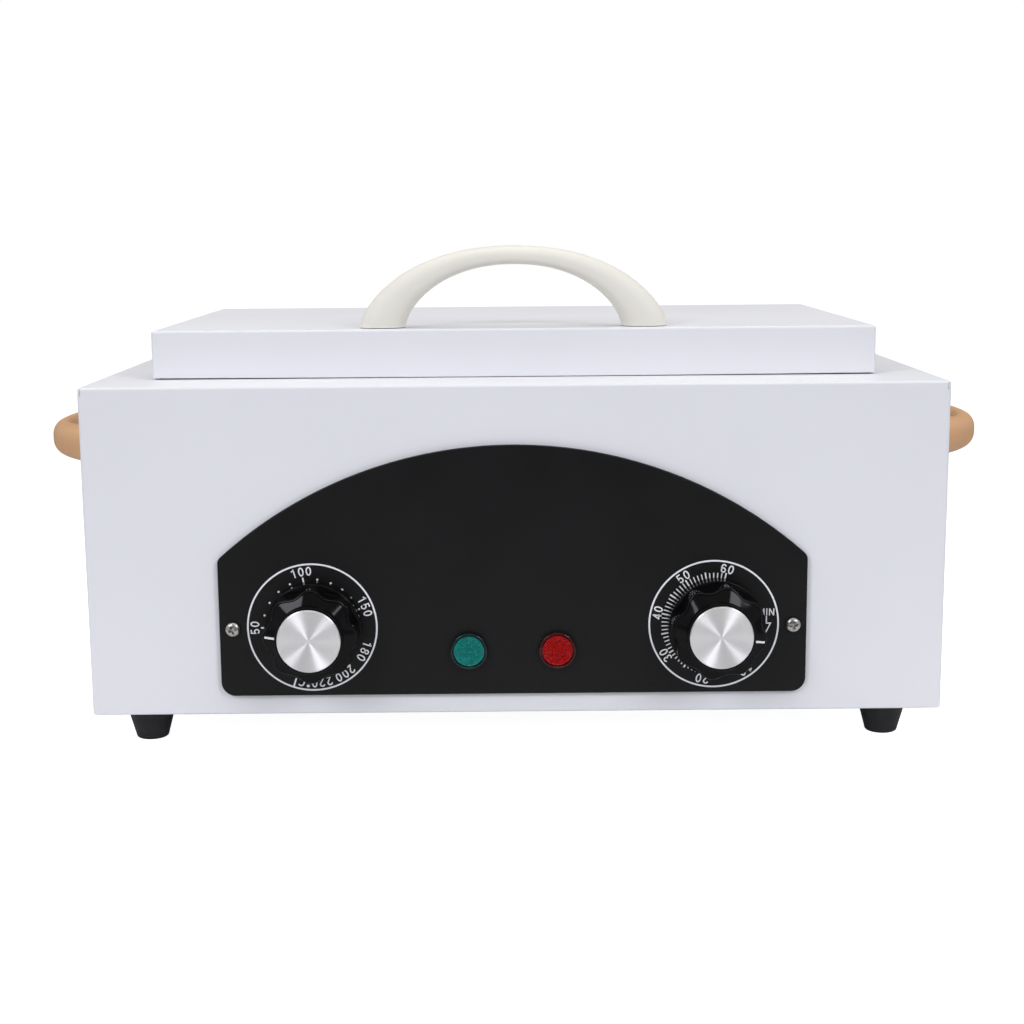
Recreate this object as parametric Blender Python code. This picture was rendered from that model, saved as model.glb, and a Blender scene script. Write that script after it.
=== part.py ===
"""Bench-top dry heat sterilizer: a white steel box with a hinged lid over a heated steel basin,
a black control panel with two dials and two lamps, and a bow handle on the lid and on each side.

The object is built in the frame of its case: X to the right, Y from the front face to the back,
Z up from the surface that it stands on. One empty at the end shifts that frame to the middle of
the object's footprint."""

import math

import bmesh
import bpy
from mathutils import Euler, Matrix, Vector

MM = 0.001

# Clearances
SEAT = 0.3 * MM  # gap between two pieces that touch on the real object
RUNNING_GAP = 0.35 * MM  # radial gap of a pin or shaft in its hole
SCREW_GAP = 0.3 * MM  # radial gap of a screw in its hole
OVERRUN = 3.0 * MM  # how far a cutter passes the face that it opens
SAME = 0.01 * MM  # points closer than this count as level

# Case
CASE_WIDTH = 360.0 * MM
CASE_DEPTH = 222.0 * MM
CASE_HEIGHT = 139.3 * MM
CASE_SHEET = 0.8 * MM
CASE_BEND = 1.2 * MM
BASE_SHEET = 0.8 * MM
BASE_RIM = 12.0 * MM
SLOT_LENGTH = 60.0 * MM
SLOT_WIDTH = 4.0 * MM
SLOT_PITCH = 12.0 * MM
SLOT_COUNT = 5
SLOT_GROUP_X = 70.0 * MM

# Feet
FOOT_HEIGHT = 15.0 * MM
FOOT_TOP_RADIUS = 10.5 * MM
FOOT_BOTTOM_RADIUS = 7.05 * MM
FOOT_EDGE = 1.2 * MM
FOOT_WELL_RADIUS = 4.0 * MM
FOOT_WELL_DEPTH = 9.0 * MM
FOOT_INSET = 20.75 * MM
FOOT_SCREW_RADIUS = 1.9 * MM
FOOT_SCREW_HEAD_RADIUS = 3.5 * MM
FOOT_SCREW_HEAD = 2.4 * MM
FOOT_SCREW_END = 5.0 * MM  # thread that stands above the base plate

# Chamber
CHAMBER_MARGIN_X = 20.6 * MM  # from each side face of the lid to the basin's opening
CHAMBER_MARGIN_Y = 19.0 * MM  # from the lid's front and back faces to it
CHAMBER_DEPTH = 62.0 * MM
CHAMBER_SHEET = 0.8 * MM
CHAMBER_CORNER = 10.0 * MM
FLANGE_WIDTH = 14.0 * MM
FLANGE_SHEET = 0.6 * MM
MOUTH_GAP = 1.0 * MM

# Heating element and its straps
ROD_RADIUS = 4.0 * MM
ROD_RUN_COUNT = 4
ROD_SIDE_MARGIN = 30.0 * MM  # from the chamber's front and back walls to the outer runs
ROD_END_MARGIN = 22.0 * MM  # from a bend's outside to the chamber's end wall
ROD_TAIL = 8.0 * MM  # cold end that stands out of the insulation
STRAP_WIDTH = 12.0 * MM
STRAP_SHEET = 1.2 * MM
STRAP_X = 60.0 * MM
STRAP_MARGIN = 10.0 * MM

# Insulation jacket
JACKET_WALL = 10.0 * MM

# Lid
LID_WIDTH = 311.2 * MM
LID_SETBACK = 34.0 * MM  # from the case's front face to the lid's
LID_HEIGHT = 20.3 * MM
LID_SHEET = 0.8 * MM
LID_BEND = 1.2 * MM
LID_GAP = 0.6 * MM  # dark line between the case's top and the lid's edge
LINER_SHEET = 0.6 * MM
LINER_RIM = 8.0 * MM

# Bow handles: one moulding, white on the lid and tan on the sides
BOW_SPAN = 133.4 * MM
BOW_HEIGHT = 34.6 * MM
BOW_FOOT = 19.8 * MM
BOW_CROWN = 8.0 * MM
BOW_BAND_CROWN = 13.5 * MM
BOW_BAND_FOOT = 16.5 * MM
BOW_RUN_POWER = 2.2  # exponents of the two curves, along the bow and up from its feet
BOW_RISE_POWER = 1.57
BOW_SECTION_POWER = 2.5
BOW_STATIONS = 22
BOW_SECTION_POINTS = 12
LID_HANDLE_SETBACK = 11.5 * MM  # from the lid's front face to the handle's middle
SIDE_HANDLE_DROP = 29.9 * MM  # from the case's top to the handle's middle
SIDE_HANDLE_SETBACK = 107.0 * MM
HANDLE_SCREW_RADIUS = 2.0 * MM
HANDLE_SCREW_DEPTH = 10.0 * MM
HANDLE_SCREW_HEAD_RADIUS = 4.0 * MM
HANDLE_SCREW_HEAD = 2.4 * MM

# Control panel
PANEL_WIDTH = 246.5 * MM
PANEL_HEIGHT = 105.9 * MM
PANEL_SHEET = 2.0 * MM
PANEL_ARC_RADIUS = 183.8 * MM
PANEL_LOW_CORNER = 6.0 * MM
PANEL_HIGH_CORNER = 4.0 * MM
PANEL_EDGE = 0.5 * MM
PANEL_RISE = 8.6 * MM  # from the case's bottom edge to the panel's
PANEL_SHIFT = -1.35 * MM  # the panel sits a little left of the case's middle
PANEL_SCREW_INSET = 5.75 * MM  # from the panel's side to the screw's middle
PANEL_SCREW_RISE = 37.6 * MM  # from the case's bottom edge
PANEL_SCREW_RADIUS = 1.5 * MM
PANEL_SCREW_HEAD_RADIUS = 3.1 * MM
PANEL_SCREW_HEAD = 1.9 * MM
PANEL_SCREW_LENGTH = 9.0 * MM
CROSS_WIDTH = 0.8 * MM
CROSS_LENGTH = 3.2 * MM
CROSS_DEPTH = 1.0 * MM

# Dials and knobs
DIAL_INSET = 39.25 * MM  # from the panel's side to the dial's middle
DIAL_SHIFT = 0.8 * MM  # how far right of the panel's middle the pair sits
DIAL_RISE = 37.85 * MM  # from the case's bottom edge
KNOB_GAP = 0.9 * MM
KNOB_SKIRT_RADIUS = 20.3 * MM
KNOB_SKIRT_HEIGHT = 7.0 * MM
KNOB_BODY_RADIUS = 19.8 * MM
KNOB_SHOULDER_RADIUS = 19.8 * MM
KNOB_SHOULDER_HEIGHT = 14.8 * MM
KNOB_ROUND = 0.8 * MM  # between the grip's wall and its conical front
KNOB_FRONT_RADIUS = 14.0 * MM
KNOB_FRONT_HEIGHT = 18.25 * MM
KNOB_HEIGHT = 22.6 * MM
KNOB_LOBES = 8
KNOB_FLUTE = 2.2 * MM
KNOB_EDGE = 0.5 * MM
KNOB_SIDES = 48
KNOB_BORE_DEPTH = 15.0 * MM
CAP_RADIUS = 13.0 * MM
CAP_SHEET = 1.0 * MM
CAP_POCKET = 0.9 * MM
CAP_DISH = 0.25 * MM
SHAFT_RADIUS = 3.0 * MM
SHAFT_FLAT = 1.0 * MM
SHAFT_IN_BODY = 14.0 * MM
SHAFT_HOLE_RADIUS = 5.0 * MM
TEMPERATURE_REST_DEG = -89.6  # clockwise from the top, as the front is seen
TIMER_REST_DEG = 101.4

# Thermostat and timer
THERMOSTAT_WIDTH = 42.0 * MM
THERMOSTAT_DEPTH = 26.0 * MM
THERMOSTAT_HEIGHT = 34.0 * MM
TIMER_WIDTH = 46.0 * MM
TIMER_DEPTH = 30.0 * MM
TIMER_HEIGHT = 46.0 * MM
CONTROL_EDGE = 2.0 * MM
BULB_RADIUS = 3.0 * MM
BULB_LENGTH = 70.0 * MM
BULB_RISE = 12.0 * MM  # above the chamber's underside
CAPILLARY_RADIUS = 1.0 * MM
CAPILLARY_ARC = 8.0 * MM

# Pilot lamps
LAMP_SPREAD = 18.6 * MM
LAMP_RISE = 27.6 * MM  # from the case's bottom edge
BEZEL_RADIUS = 7.8 * MM
BEZEL_HEIGHT = 2.2 * MM
BEZEL_EDGE = 0.5 * MM
BARREL_RADIUS = 6.2 * MM
BARREL_LENGTH = 22.0 * MM
LENS_RADIUS = 6.45 * MM
LENS_HEIGHT = 1.1 * MM
LENS_DOME = 0.25 * MM

# Hinges
HINGE_WIDTH = 60.0 * MM
HINGE_X = 95.0 * MM
HINGE_SHEET = 1.2 * MM
HINGE_LEAF = 17.0 * MM
PIN_RADIUS = 1.5 * MM
PIN_HEAD = 0.8 * MM
KNUCKLE_GAP = 0.4 * MM
CURL_DEG = 300.0
CURL_STEPS = 10

# Mains inlet and terminal block
INLET_FLANGE_WIDTH = 50.0 * MM
INLET_FLANGE_SHEET = 3.0 * MM
INLET_FLANGE_HEIGHT = 24.0 * MM
INLET_BODY_WIDTH = 31.0 * MM
INLET_BODY_DEPTH = 20.0 * MM
INLET_BODY_HEIGHT = 21.0 * MM
INLET_SOCKET_WIDTH = 24.6 * MM
INLET_SOCKET_DEPTH = 16.0 * MM
INLET_SOCKET_HEIGHT = 16.6 * MM
INLET_PIN_WIDTH = 2.0 * MM
INLET_PIN_LENGTH = 13.0 * MM
INLET_PIN_HEIGHT = 4.0 * MM
INLET_PIN_SPREAD = 7.0 * MM
INLET_LINE_PIN_RISE = 3.2 * MM
INLET_EARTH_PIN_DROP = 1.0 * MM
INLET_PIN_ROOT = 1.0 * MM
INLET_SCREW_SPREAD = 20.0 * MM
INLET_SCREW_RADIUS = 1.5 * MM
INLET_SCREW_HEAD_RADIUS = 2.8 * MM
INLET_SCREW_HEAD = 1.6 * MM
INLET_SCREW_LENGTH = 10.0 * MM
INLET_X = -118.0 * MM
INLET_RISE = 38.0 * MM
BLOCK_WIDTH = 44.0 * MM
BLOCK_DEPTH = 18.0 * MM
BLOCK_HEIGHT = 15.0 * MM
BLOCK_STEP = 5.0 * MM

# Places worked out from the sizes
CASE_FLOOR_Z = FOOT_HEIGHT + SEAT
CASE_TOP_Z = CASE_FLOOR_Z + CASE_HEIGHT
LID_DEPTH = CASE_DEPTH - LID_SETBACK
LID_MIDDLE_Y = LID_SETBACK + LID_DEPTH / 2
LID_LOW_Z = CASE_TOP_Z + LID_GAP
LID_TOP_Z = LID_LOW_Z + LID_HEIGHT
CHAMBER_WIDTH = LID_WIDTH - 2 * CHAMBER_MARGIN_X
CHAMBER_LENGTH = LID_DEPTH - 2 * CHAMBER_MARGIN_Y
ROD_RUN_PITCH = (CHAMBER_LENGTH - 2 * ROD_SIDE_MARGIN) / (ROD_RUN_COUNT - 1)
FLANGE_TOP_Z = CASE_TOP_Z + SEAT + FLANGE_SHEET
LINER_LOW_Z = FLANGE_TOP_Z + SEAT
CHAMBER_FLOOR_Z = FLANGE_TOP_Z - CHAMBER_DEPTH
CHAMBER_UNDER_Z = CHAMBER_FLOOR_Z - CHAMBER_SHEET
ROD_Z = CHAMBER_UNDER_Z - SEAT - ROD_RADIUS
STRAP_TOP_Z = ROD_Z - ROD_RADIUS - SEAT
JACKET_FLOOR_Z = STRAP_TOP_Z - STRAP_SHEET - SEAT
PANEL_BACK_Y = -SEAT
PANEL_FACE_Y = PANEL_BACK_Y - PANEL_SHEET
PANEL_LOW_Z = CASE_FLOOR_Z + PANEL_RISE
PANEL_SCREW_SPREAD = PANEL_WIDTH / 2 - PANEL_SCREW_INSET
DIAL_SPREAD = PANEL_WIDTH / 2 - DIAL_INSET
THERMOSTAT_SIZE = Vector((THERMOSTAT_WIDTH, THERMOSTAT_DEPTH, THERMOSTAT_HEIGHT))
TIMER_SIZE = Vector((TIMER_WIDTH, TIMER_DEPTH, TIMER_HEIGHT))
INLET_FLANGE = Vector((INLET_FLANGE_WIDTH, INLET_FLANGE_SHEET, INLET_FLANGE_HEIGHT))
INLET_BODY = Vector((INLET_BODY_WIDTH, INLET_BODY_DEPTH, INLET_BODY_HEIGHT))
INLET_SOCKET = Vector((INLET_SOCKET_WIDTH, INLET_SOCKET_DEPTH, INLET_SOCKET_HEIGHT))
INLET_PIN = Vector((INLET_PIN_WIDTH, INLET_PIN_LENGTH, INLET_PIN_HEIGHT))
BLOCK_SIZE = Vector((BLOCK_WIDTH, BLOCK_DEPTH, BLOCK_HEIGHT))
DIAL_Z = CASE_FLOOR_Z + DIAL_RISE
LAMP_Z = CASE_FLOOR_Z + LAMP_RISE
KNOB_BACK_Y = PANEL_FACE_Y - KNOB_GAP
CURL_MIDDLE_RADIUS = PIN_RADIUS + RUNNING_GAP + HINGE_SHEET / 2
HINGE_AXIS_Y = CASE_DEPTH + SEAT + HINGE_SHEET / 2 + CURL_MIDDLE_RADIUS
HINGE_AXIS_Z = CASE_TOP_Z + LID_GAP / 2
HINGE_REACH_Y = HINGE_AXIS_Y + CURL_MIDDLE_RADIUS + HINGE_SHEET / 2
KNOB_CONE_RISE = KNOB_FRONT_HEIGHT - KNOB_SHOULDER_HEIGHT - KNOB_ROUND
KNOB_CONE_RUN = KNOB_SHOULDER_RADIUS - KNOB_ROUND - KNOB_FRONT_RADIUS
CAP_SEAT_HEIGHT = KNOB_HEIGHT - CAP_POCKET + SEAT
FRONT_REACH_Y = KNOB_BACK_Y - CAP_SEAT_HEIGHT - CAP_SHEET
FOOTPRINT_MIDDLE_Y = (FRONT_REACH_Y + HINGE_REACH_Y) / 2

# Colours as linear RGB, with roughness and metallic value
PAINT = ("white_paint", (0.82, 0.82, 0.85), 0.35, 0.0)
STEEL = ("stainless_steel", (0.55, 0.56, 0.57), 0.3, 1.0)
ZINC = ("zinc_plate", (0.50, 0.50, 0.48), 0.4, 1.0)
ALUMINIUM = ("aluminium", (0.80, 0.80, 0.80), 0.3, 1.0)
BLACK = ("black_plastic", (0.015, 0.015, 0.017), 0.3, 0.0)
GLOSS_BLACK = ("gloss_black", (0.008, 0.008, 0.009), 0.12, 0.0)
RUBBER = ("black_rubber", (0.02, 0.02, 0.022), 0.7, 0.0)
OFF_WHITE = ("off_white_plastic", (0.78, 0.76, 0.71), 0.4, 0.0)
TAN = ("tan_plastic", (0.56, 0.32, 0.18), 0.45, 0.0)
GREEN = ("green_lens", (0.01, 0.22, 0.12), 0.15, 0.0)
RED = ("red_lens", (0.45, 0.01, 0.02), 0.15, 0.0)
BAKELITE = ("brown_bakelite", (0.06, 0.03, 0.02), 0.45, 0.0)
WOOL = ("mineral_wool", (0.75, 0.72, 0.60), 0.9, 0.0)

FULL_TURN = 2 * math.pi
SMOOTH_ANGLE = math.radians(35)
HOLE_SIDES = 16
SMALL_SIDES = 12
LAMP_SIDES = 24
CAP_SIDES = 36
TUBE_SIDES = 8
BEND_STEPS = 8
CORNER_STEPS = 3
EDGE_SEGMENTS = 2
PANEL_ARC_STEPS = 32
SHAFT_STEPS = 14


def clear_scene():
    for old in list(bpy.data.objects):
        bpy.data.objects.remove(old, do_unlink=True)


def material(finish):
    """The named Principled material of a finish, made once."""
    name, colour, roughness, metallic = finish
    found = bpy.data.materials.get(name)
    if found:
        return found
    made = bpy.data.materials.new(name)
    made.use_nodes = True
    shader = made.node_tree.nodes["Principled BSDF"]
    shader.inputs["Base Color"].default_value = (*colour, 1.0)
    shader.inputs["Roughness"].default_value = roughness
    shader.inputs["Metallic"].default_value = metallic
    return made


def empty(name, place, parent=None, turn=(0.0, 0.0, 0.0)):
    """A frame that pieces hang from."""
    made = bpy.data.objects.new(name, None)
    bpy.context.scene.collection.objects.link(made)
    made.parent = parent
    made.location = place
    made.rotation_euler = turn
    return made


def piece(name, bm, finish, parent, place=(0.0, 0.0, 0.0), turn=(0.0, 0.0, 0.0)):
    """Turns a bmesh into one named object."""
    bmesh.ops.recalc_face_normals(bm, faces=bm.faces)
    data = bpy.data.meshes.new(name)
    bm.to_mesh(data)
    bm.free()
    data.shade_smooth()
    data.set_sharp_from_angle(angle=SMOOTH_ANGLE)
    data.materials.append(material(finish))
    made = bpy.data.objects.new(name, data)
    bpy.context.scene.collection.objects.link(made)
    made.parent = parent
    made.location = place
    made.rotation_euler = turn
    return made


def cut(target, *shapes, operation="DIFFERENCE"):
    """Takes the given bmesh shapes out of a piece, or joins them to it, with one Boolean each."""
    for number, shape in enumerate(shapes, 1):
        tool = piece(f"{target.name}_{operation.lower()}_{number}", shape, STEEL, target)
        tool.hide_render = True
        tool.display_type = "WIRE"
        step = target.modifiers.new(tool.name, "BOOLEAN")
        step.operation = operation
        step.object = tool
        step.solver = "EXACT"


def add_box(bm, low, high):
    """Adds a box between two corners to a mesh."""
    low = Vector(low)
    high = Vector(high)
    middle = (low + high) / 2
    size = high - low
    frame = Matrix.Translation(middle) @ Matrix.Diagonal((*size, 1.0))
    bmesh.ops.create_cube(bm, size=1.0, matrix=frame)


def box(low, high):
    bm = bmesh.new()
    add_box(bm, low, high)
    return bm


def boxes(corners):
    """Several separate boxes in one mesh."""
    bm = bmesh.new()
    for low, high in corners:
        add_box(bm, low, high)
    return bm


def soften(bm, offset, keep_sharp):
    """Rounds the edges of a shape, except those that keep_sharp picks."""
    edges = [edge for edge in bm.edges if not keep_sharp(edge)]
    bmesh.ops.bevel(bm, geom=edges, offset=offset, segments=EDGE_SEGMENTS, profile=0.5, affect="EDGES")


def prism(outline, low, high, axis):
    """Extrudes a closed outline of two-number points from low to high along X, Y or Z.

    The outline's two numbers are the other two coordinates, in X, Y, Z order."""
    bm = bmesh.new()

    def corner(point, along):
        values = list(point)
        values.insert("XYZ".index(axis), along)
        return bm.verts.new(values)

    near = [corner(point, low) for point in outline]
    far = [corner(point, high) for point in outline]
    bm.faces.new(near)
    bm.faces.new(far)
    count = len(outline)
    for i in range(count):
        j = (i + 1) % count
        bm.faces.new((near[i], near[j], far[j], far[i]))
    bmesh.ops.recalc_face_normals(bm, faces=bm.faces)
    return bm


def arc(centre, radius, start, stop, steps):
    """Points on a circle between two angles, both ends included."""
    points = []
    for i in range(steps + 1):
        angle = start + (stop - start) * i / steps
        points.append((centre[0] + radius * math.cos(angle), centre[1] + radius * math.sin(angle)))
    return points


def rounded_rectangle(middle, size, radius):
    """Outline of a rectangle with round corners."""
    half_x = size[0] / 2 - radius
    half_y = size[1] / 2 - radius
    points = []
    for quarter, (side_x, side_y) in enumerate(((1, 1), (-1, 1), (-1, -1), (1, -1))):
        centre = (middle[0] + side_x * half_x, middle[1] + side_y * half_y)
        start = quarter * math.pi / 2
        points += arc(centre, radius, start, start + math.pi / 2, CORNER_STEPS)
    return points


def disc_hole(centre, radius, low, high, axis, sides=HOLE_SIDES):
    """A round cutter along one axis."""
    outline = arc(centre, radius, 0.0, FULL_TURN * (sides - 1) / sides, sides - 1)
    return prism(outline, low, high, axis)


def turned(profile, sides, shape=None, ring_shaped=False):
    """Turns a profile of (radius, height) points about Z.

    It starts and ends on the axis, or joins up with its own start where it is ring shaped.
    shape(radius, height, angle) may move a point along and up with its angle."""
    bm = bmesh.new()
    rings = []
    for radius, height in profile:
        if radius == 0:
            rings.append([bm.verts.new((0.0, 0.0, height))])
            continue
        ring = []
        for i in range(sides):
            angle = FULL_TURN * i / sides
            reach, rise = shape(radius, height, angle) if shape else (radius, height)
            ring.append(bm.verts.new((reach * math.cos(angle), reach * math.sin(angle), rise)))
        rings.append(ring)
    if ring_shaped:
        rings.append(rings[0])
    for lower, upper in zip(rings, rings[1:]):
        for i in range(sides):
            j = (i + 1) % sides
            if len(lower) == 1:
                bm.faces.new((lower[0], upper[j], upper[i]))
            elif len(upper) == 1:
                bm.faces.new((lower[i], lower[j], upper[0]))
            else:
                bm.faces.new((lower[i], lower[j], upper[j], upper[i]))
    bmesh.ops.recalc_face_normals(bm, faces=bm.faces)
    return bm


def swept(points, radii, sides=TUBE_SIDES):
    """A tube with closed ends along a path, with its own radius at each point."""
    bm = bmesh.new()
    points = [Vector(point) for point in points]
    last = len(points) - 1
    across = None
    rings = []
    for i, point in enumerate(points):
        along = (points[min(i + 1, last)] - points[max(i - 1, 0)]).normalized()
        if across is None:
            across = along.orthogonal()
        across = (across - along * across.dot(along)).normalized()
        other = along.cross(across)
        ring = []
        for k in range(sides):
            angle = FULL_TURN * k / sides
            ring.append(bm.verts.new(point + radii[i] * (across * math.cos(angle) + other * math.sin(angle))))
        rings.append(ring)
    for lower, upper in zip(rings, rings[1:]):
        for k in range(sides):
            j = (k + 1) % sides
            bm.faces.new((lower[k], lower[j], upper[j], upper[k]))
    bm.faces.new(rings[0])
    bm.faces.new(rings[-1])
    bmesh.ops.recalc_face_normals(bm, faces=bm.faces)
    return bm


def pan_screw(radius, length, head_radius, head, cross=False):
    """A pan-head screw along Z: its head's underside at 0, its shank going down, its head up."""
    profile = [
        (0.0, -length),
        (radius, -length),
        (radius, 0.0),
        (head_radius, 0.0),
        (head_radius, head / 3),
        (head_radius * 3 / 4, head * 5 / 6),
        (head_radius / 3, head),
        (0.0, head),
    ]
    return turned(profile, HOLE_SIDES if cross else SMALL_SIDES)


def cross_recess(head):
    """The two crossed slots of a screw head, as cutters that don't share a face."""
    low = head - CROSS_DEPTH
    high = head + OVERRUN
    slots = []
    for long_x, long_y in ((CROSS_LENGTH, CROSS_WIDTH), (CROSS_WIDTH, CROSS_LENGTH)):
        slots.append(box((-long_x / 2, -long_y / 2, low), (long_x / 2, long_y / 2, high)))
    return slots


# Turns that lay a shape built along Z against a face
FACE_FRONT = (math.pi / 2, 0.0, 0.0)  # Z becomes -Y
FACE_BACK = (-math.pi / 2, 0.0, 0.0)  # Z becomes +Y
FACE_DOWN = (math.pi, 0.0, 0.0)
FACE_RIGHT = (0.0, math.pi / 2, 0.0)  # Z becomes +X
FACE_LEFT = (0.0, -math.pi / 2, 0.0)


def foot_places():
    """The four feet, with a word for each corner."""
    half = CASE_WIDTH / 2 - FOOT_INSET
    for side, x in (("left", -half), ("right", half)):
        for end, y in (("front", FOOT_INSET), ("rear", CASE_DEPTH - FOOT_INSET)):
            yield f"{end}_{side}", x, y


def lamp_places():
    yield "green", PANEL_SHIFT - LAMP_SPREAD
    yield "red", PANEL_SHIFT + LAMP_SPREAD


def dial_places():
    yield "temperature", PANEL_SHIFT + DIAL_SHIFT - DIAL_SPREAD
    yield "timer", PANEL_SHIFT + DIAL_SHIFT + DIAL_SPREAD


def handle_screw_reach():
    """Distance from a handle's middle to each of its screws: the middle of its foot."""
    return BOW_SPAN / 2 - BOW_FOOT / 2


def make_case(frame):
    """Outer box: one folded sheet, open below, with a mouth in the top for the basin."""
    half = CASE_WIDTH / 2
    bm = box((-half, 0.0, CASE_FLOOR_Z), (half, CASE_DEPTH, CASE_TOP_Z))

    def at_floor(edge):
        return all(abs(vert.co.z - CASE_FLOOR_Z) < SAME for vert in edge.verts)

    soften(bm, CASE_BEND, at_floor)
    shell = piece("case_shell", bm, PAINT, frame)
    inner = half - CASE_SHEET
    hollow = box(
        (-inner, CASE_SHEET, CASE_FLOOR_Z - OVERRUN),
        (inner, CASE_DEPTH - CASE_SHEET, CASE_TOP_Z - CASE_SHEET),
    )
    mouth_size = (
        CHAMBER_WIDTH + 2 * (CHAMBER_SHEET + MOUTH_GAP),
        CHAMBER_LENGTH + 2 * (CHAMBER_SHEET + MOUTH_GAP),
    )
    corner = CHAMBER_CORNER + CHAMBER_SHEET + MOUTH_GAP
    mouth = prism(
        rounded_rectangle((0.0, LID_MIDDLE_Y), mouth_size, corner),
        CASE_TOP_Z - CASE_SHEET - OVERRUN,
        CASE_TOP_Z + OVERRUN,
        "Z",
    )
    through = (-OVERRUN, CASE_SHEET + OVERRUN)
    holes = []
    for _, x in dial_places():
        holes.append(disc_hole((x, DIAL_Z), SHAFT_HOLE_RADIUS, *through, "Y"))
    for _, x in lamp_places():
        holes.append(disc_hole((x, LAMP_Z), BARREL_RADIUS + SEAT, *through, "Y"))
    for side in (-1, 1):
        place = (PANEL_SHIFT + side * PANEL_SCREW_SPREAD, CASE_FLOOR_Z + PANEL_SCREW_RISE)
        holes.append(disc_hole(place, PANEL_SCREW_RADIUS + SCREW_GAP, *through, "Y", SMALL_SIDES))
    for side in (-1, 1):
        wall = sorted((side * (half + OVERRUN), side * (inner - OVERRUN)))
        for end in (-1, 1):
            place = (SIDE_HANDLE_SETBACK + end * handle_screw_reach(), CASE_TOP_Z - SIDE_HANDLE_DROP)
            hole = HANDLE_SCREW_RADIUS + SCREW_GAP
            holes.append(disc_hole(place, hole, *wall, "X", SMALL_SIDES))
    inlet_half_x = INLET_BODY.x / 2 + SEAT
    inlet_half_z = INLET_BODY.z / 2 + SEAT
    inlet_z = CASE_FLOOR_Z + INLET_RISE
    window = box(
        (INLET_X - inlet_half_x, CASE_DEPTH - CASE_SHEET - OVERRUN, inlet_z - inlet_half_z),
        (INLET_X + inlet_half_x, CASE_DEPTH + OVERRUN, inlet_z + inlet_half_z),
    )
    for side in (-1, 1):
        place = (INLET_X + side * INLET_SCREW_SPREAD, inlet_z)
        back = (CASE_DEPTH - CASE_SHEET - OVERRUN, CASE_DEPTH + OVERRUN)
        holes.append(disc_hole(place, INLET_SCREW_RADIUS + SCREW_GAP, *back, "Y", SMALL_SIDES))
    cut(shell, hollow, mouth, window, *holes)


def make_base(frame):
    """Base plate: a shallow tray inside the bottom of the case, with two groups of air slots."""
    half = CASE_WIDTH / 2 - CASE_SHEET - SEAT
    front = CASE_SHEET + SEAT
    back = CASE_DEPTH - CASE_SHEET - SEAT
    bm = box((-half, front, CASE_FLOOR_Z), (half, back, CASE_FLOOR_Z + BASE_RIM))
    plate = piece("base_plate", bm, ZINC, frame)
    inner = half - BASE_SHEET
    hollow = box(
        (-inner, front + BASE_SHEET, CASE_FLOOR_Z + BASE_SHEET),
        (inner, back - BASE_SHEET, CASE_FLOOR_Z + BASE_RIM + OVERRUN),
    )
    low = CASE_FLOOR_Z - OVERRUN
    high = CASE_FLOOR_Z + BASE_SHEET + OVERRUN
    slots = []
    for group in (-1, 1):
        for i in range(SLOT_COUNT):
            y = CASE_DEPTH / 2 + (i - (SLOT_COUNT - 1) / 2) * SLOT_PITCH
            x = group * SLOT_GROUP_X
            slots.append(
                (
                    (x - SLOT_LENGTH / 2, y - SLOT_WIDTH / 2, low),
                    (x + SLOT_LENGTH / 2, y + SLOT_WIDTH / 2, high),
                )
            )
    holes = [
        disc_hole((x, y), FOOT_SCREW_RADIUS + SCREW_GAP, low, high, "Z", SMALL_SIDES)
        for _, x, y in foot_places()
    ]
    cut(plate, hollow, boxes(slots), *holes)


def make_feet(frame):
    """Four tapered rubber feet, each with a screw up through its middle into the base plate."""
    hole = FOOT_SCREW_RADIUS + SCREW_GAP
    profile = [
        (hole, FOOT_WELL_DEPTH),
        (FOOT_WELL_RADIUS, FOOT_WELL_DEPTH),
        (FOOT_WELL_RADIUS, 0.0),
        (FOOT_BOTTOM_RADIUS - FOOT_EDGE, 0.0),
        (FOOT_BOTTOM_RADIUS - FOOT_EDGE / 4, FOOT_EDGE / 3),
        (FOOT_BOTTOM_RADIUS, FOOT_EDGE),
        (FOOT_TOP_RADIUS, FOOT_HEIGHT),
        (hole, FOOT_HEIGHT),
    ]
    head_top = FOOT_WELL_DEPTH - SEAT
    length = CASE_FLOOR_Z + BASE_SHEET + FOOT_SCREW_END - head_top
    for corner, x, y in foot_places():
        piece(f"foot_{corner}", turned(profile, HOLE_SIDES, ring_shaped=True), RUBBER, frame, (x, y, 0.0))
        screw = pan_screw(FOOT_SCREW_RADIUS, length, FOOT_SCREW_HEAD_RADIUS, FOOT_SCREW_HEAD)
        piece(f"foot_screw_{corner}", screw, ZINC, frame, (x, y, head_top), FACE_DOWN)


def make_chamber(frame):
    """Basin: a deep-drawn steel tray that hangs by its flange in the mouth of the case."""
    outer_x = CHAMBER_WIDTH + 2 * CHAMBER_SHEET
    outer_y = CHAMBER_LENGTH + 2 * CHAMBER_SHEET
    middle = (0.0, LID_MIDDLE_Y)
    flange_corner = CHAMBER_CORNER + CHAMBER_SHEET
    bm = prism(
        rounded_rectangle(middle, (outer_x + 2 * FLANGE_WIDTH, outer_y + 2 * FLANGE_WIDTH), flange_corner),
        CASE_TOP_Z + SEAT,
        FLANGE_TOP_Z,
        "Z",
    )
    basin = piece("chamber_basin", bm, STEEL, frame)
    well = prism(
        rounded_rectangle(middle, (outer_x, outer_y), flange_corner),
        CHAMBER_UNDER_Z,
        CASE_TOP_Z + SEAT + FLANGE_SHEET / 2,
        "Z",
    )
    hollow = prism(
        rounded_rectangle(middle, (CHAMBER_WIDTH, CHAMBER_LENGTH), CHAMBER_CORNER),
        CHAMBER_FLOOR_Z,
        FLANGE_TOP_Z + OVERRUN,
        "Z",
    )
    cut(basin, well, operation="UNION")
    cut(basin, hollow)


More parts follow.
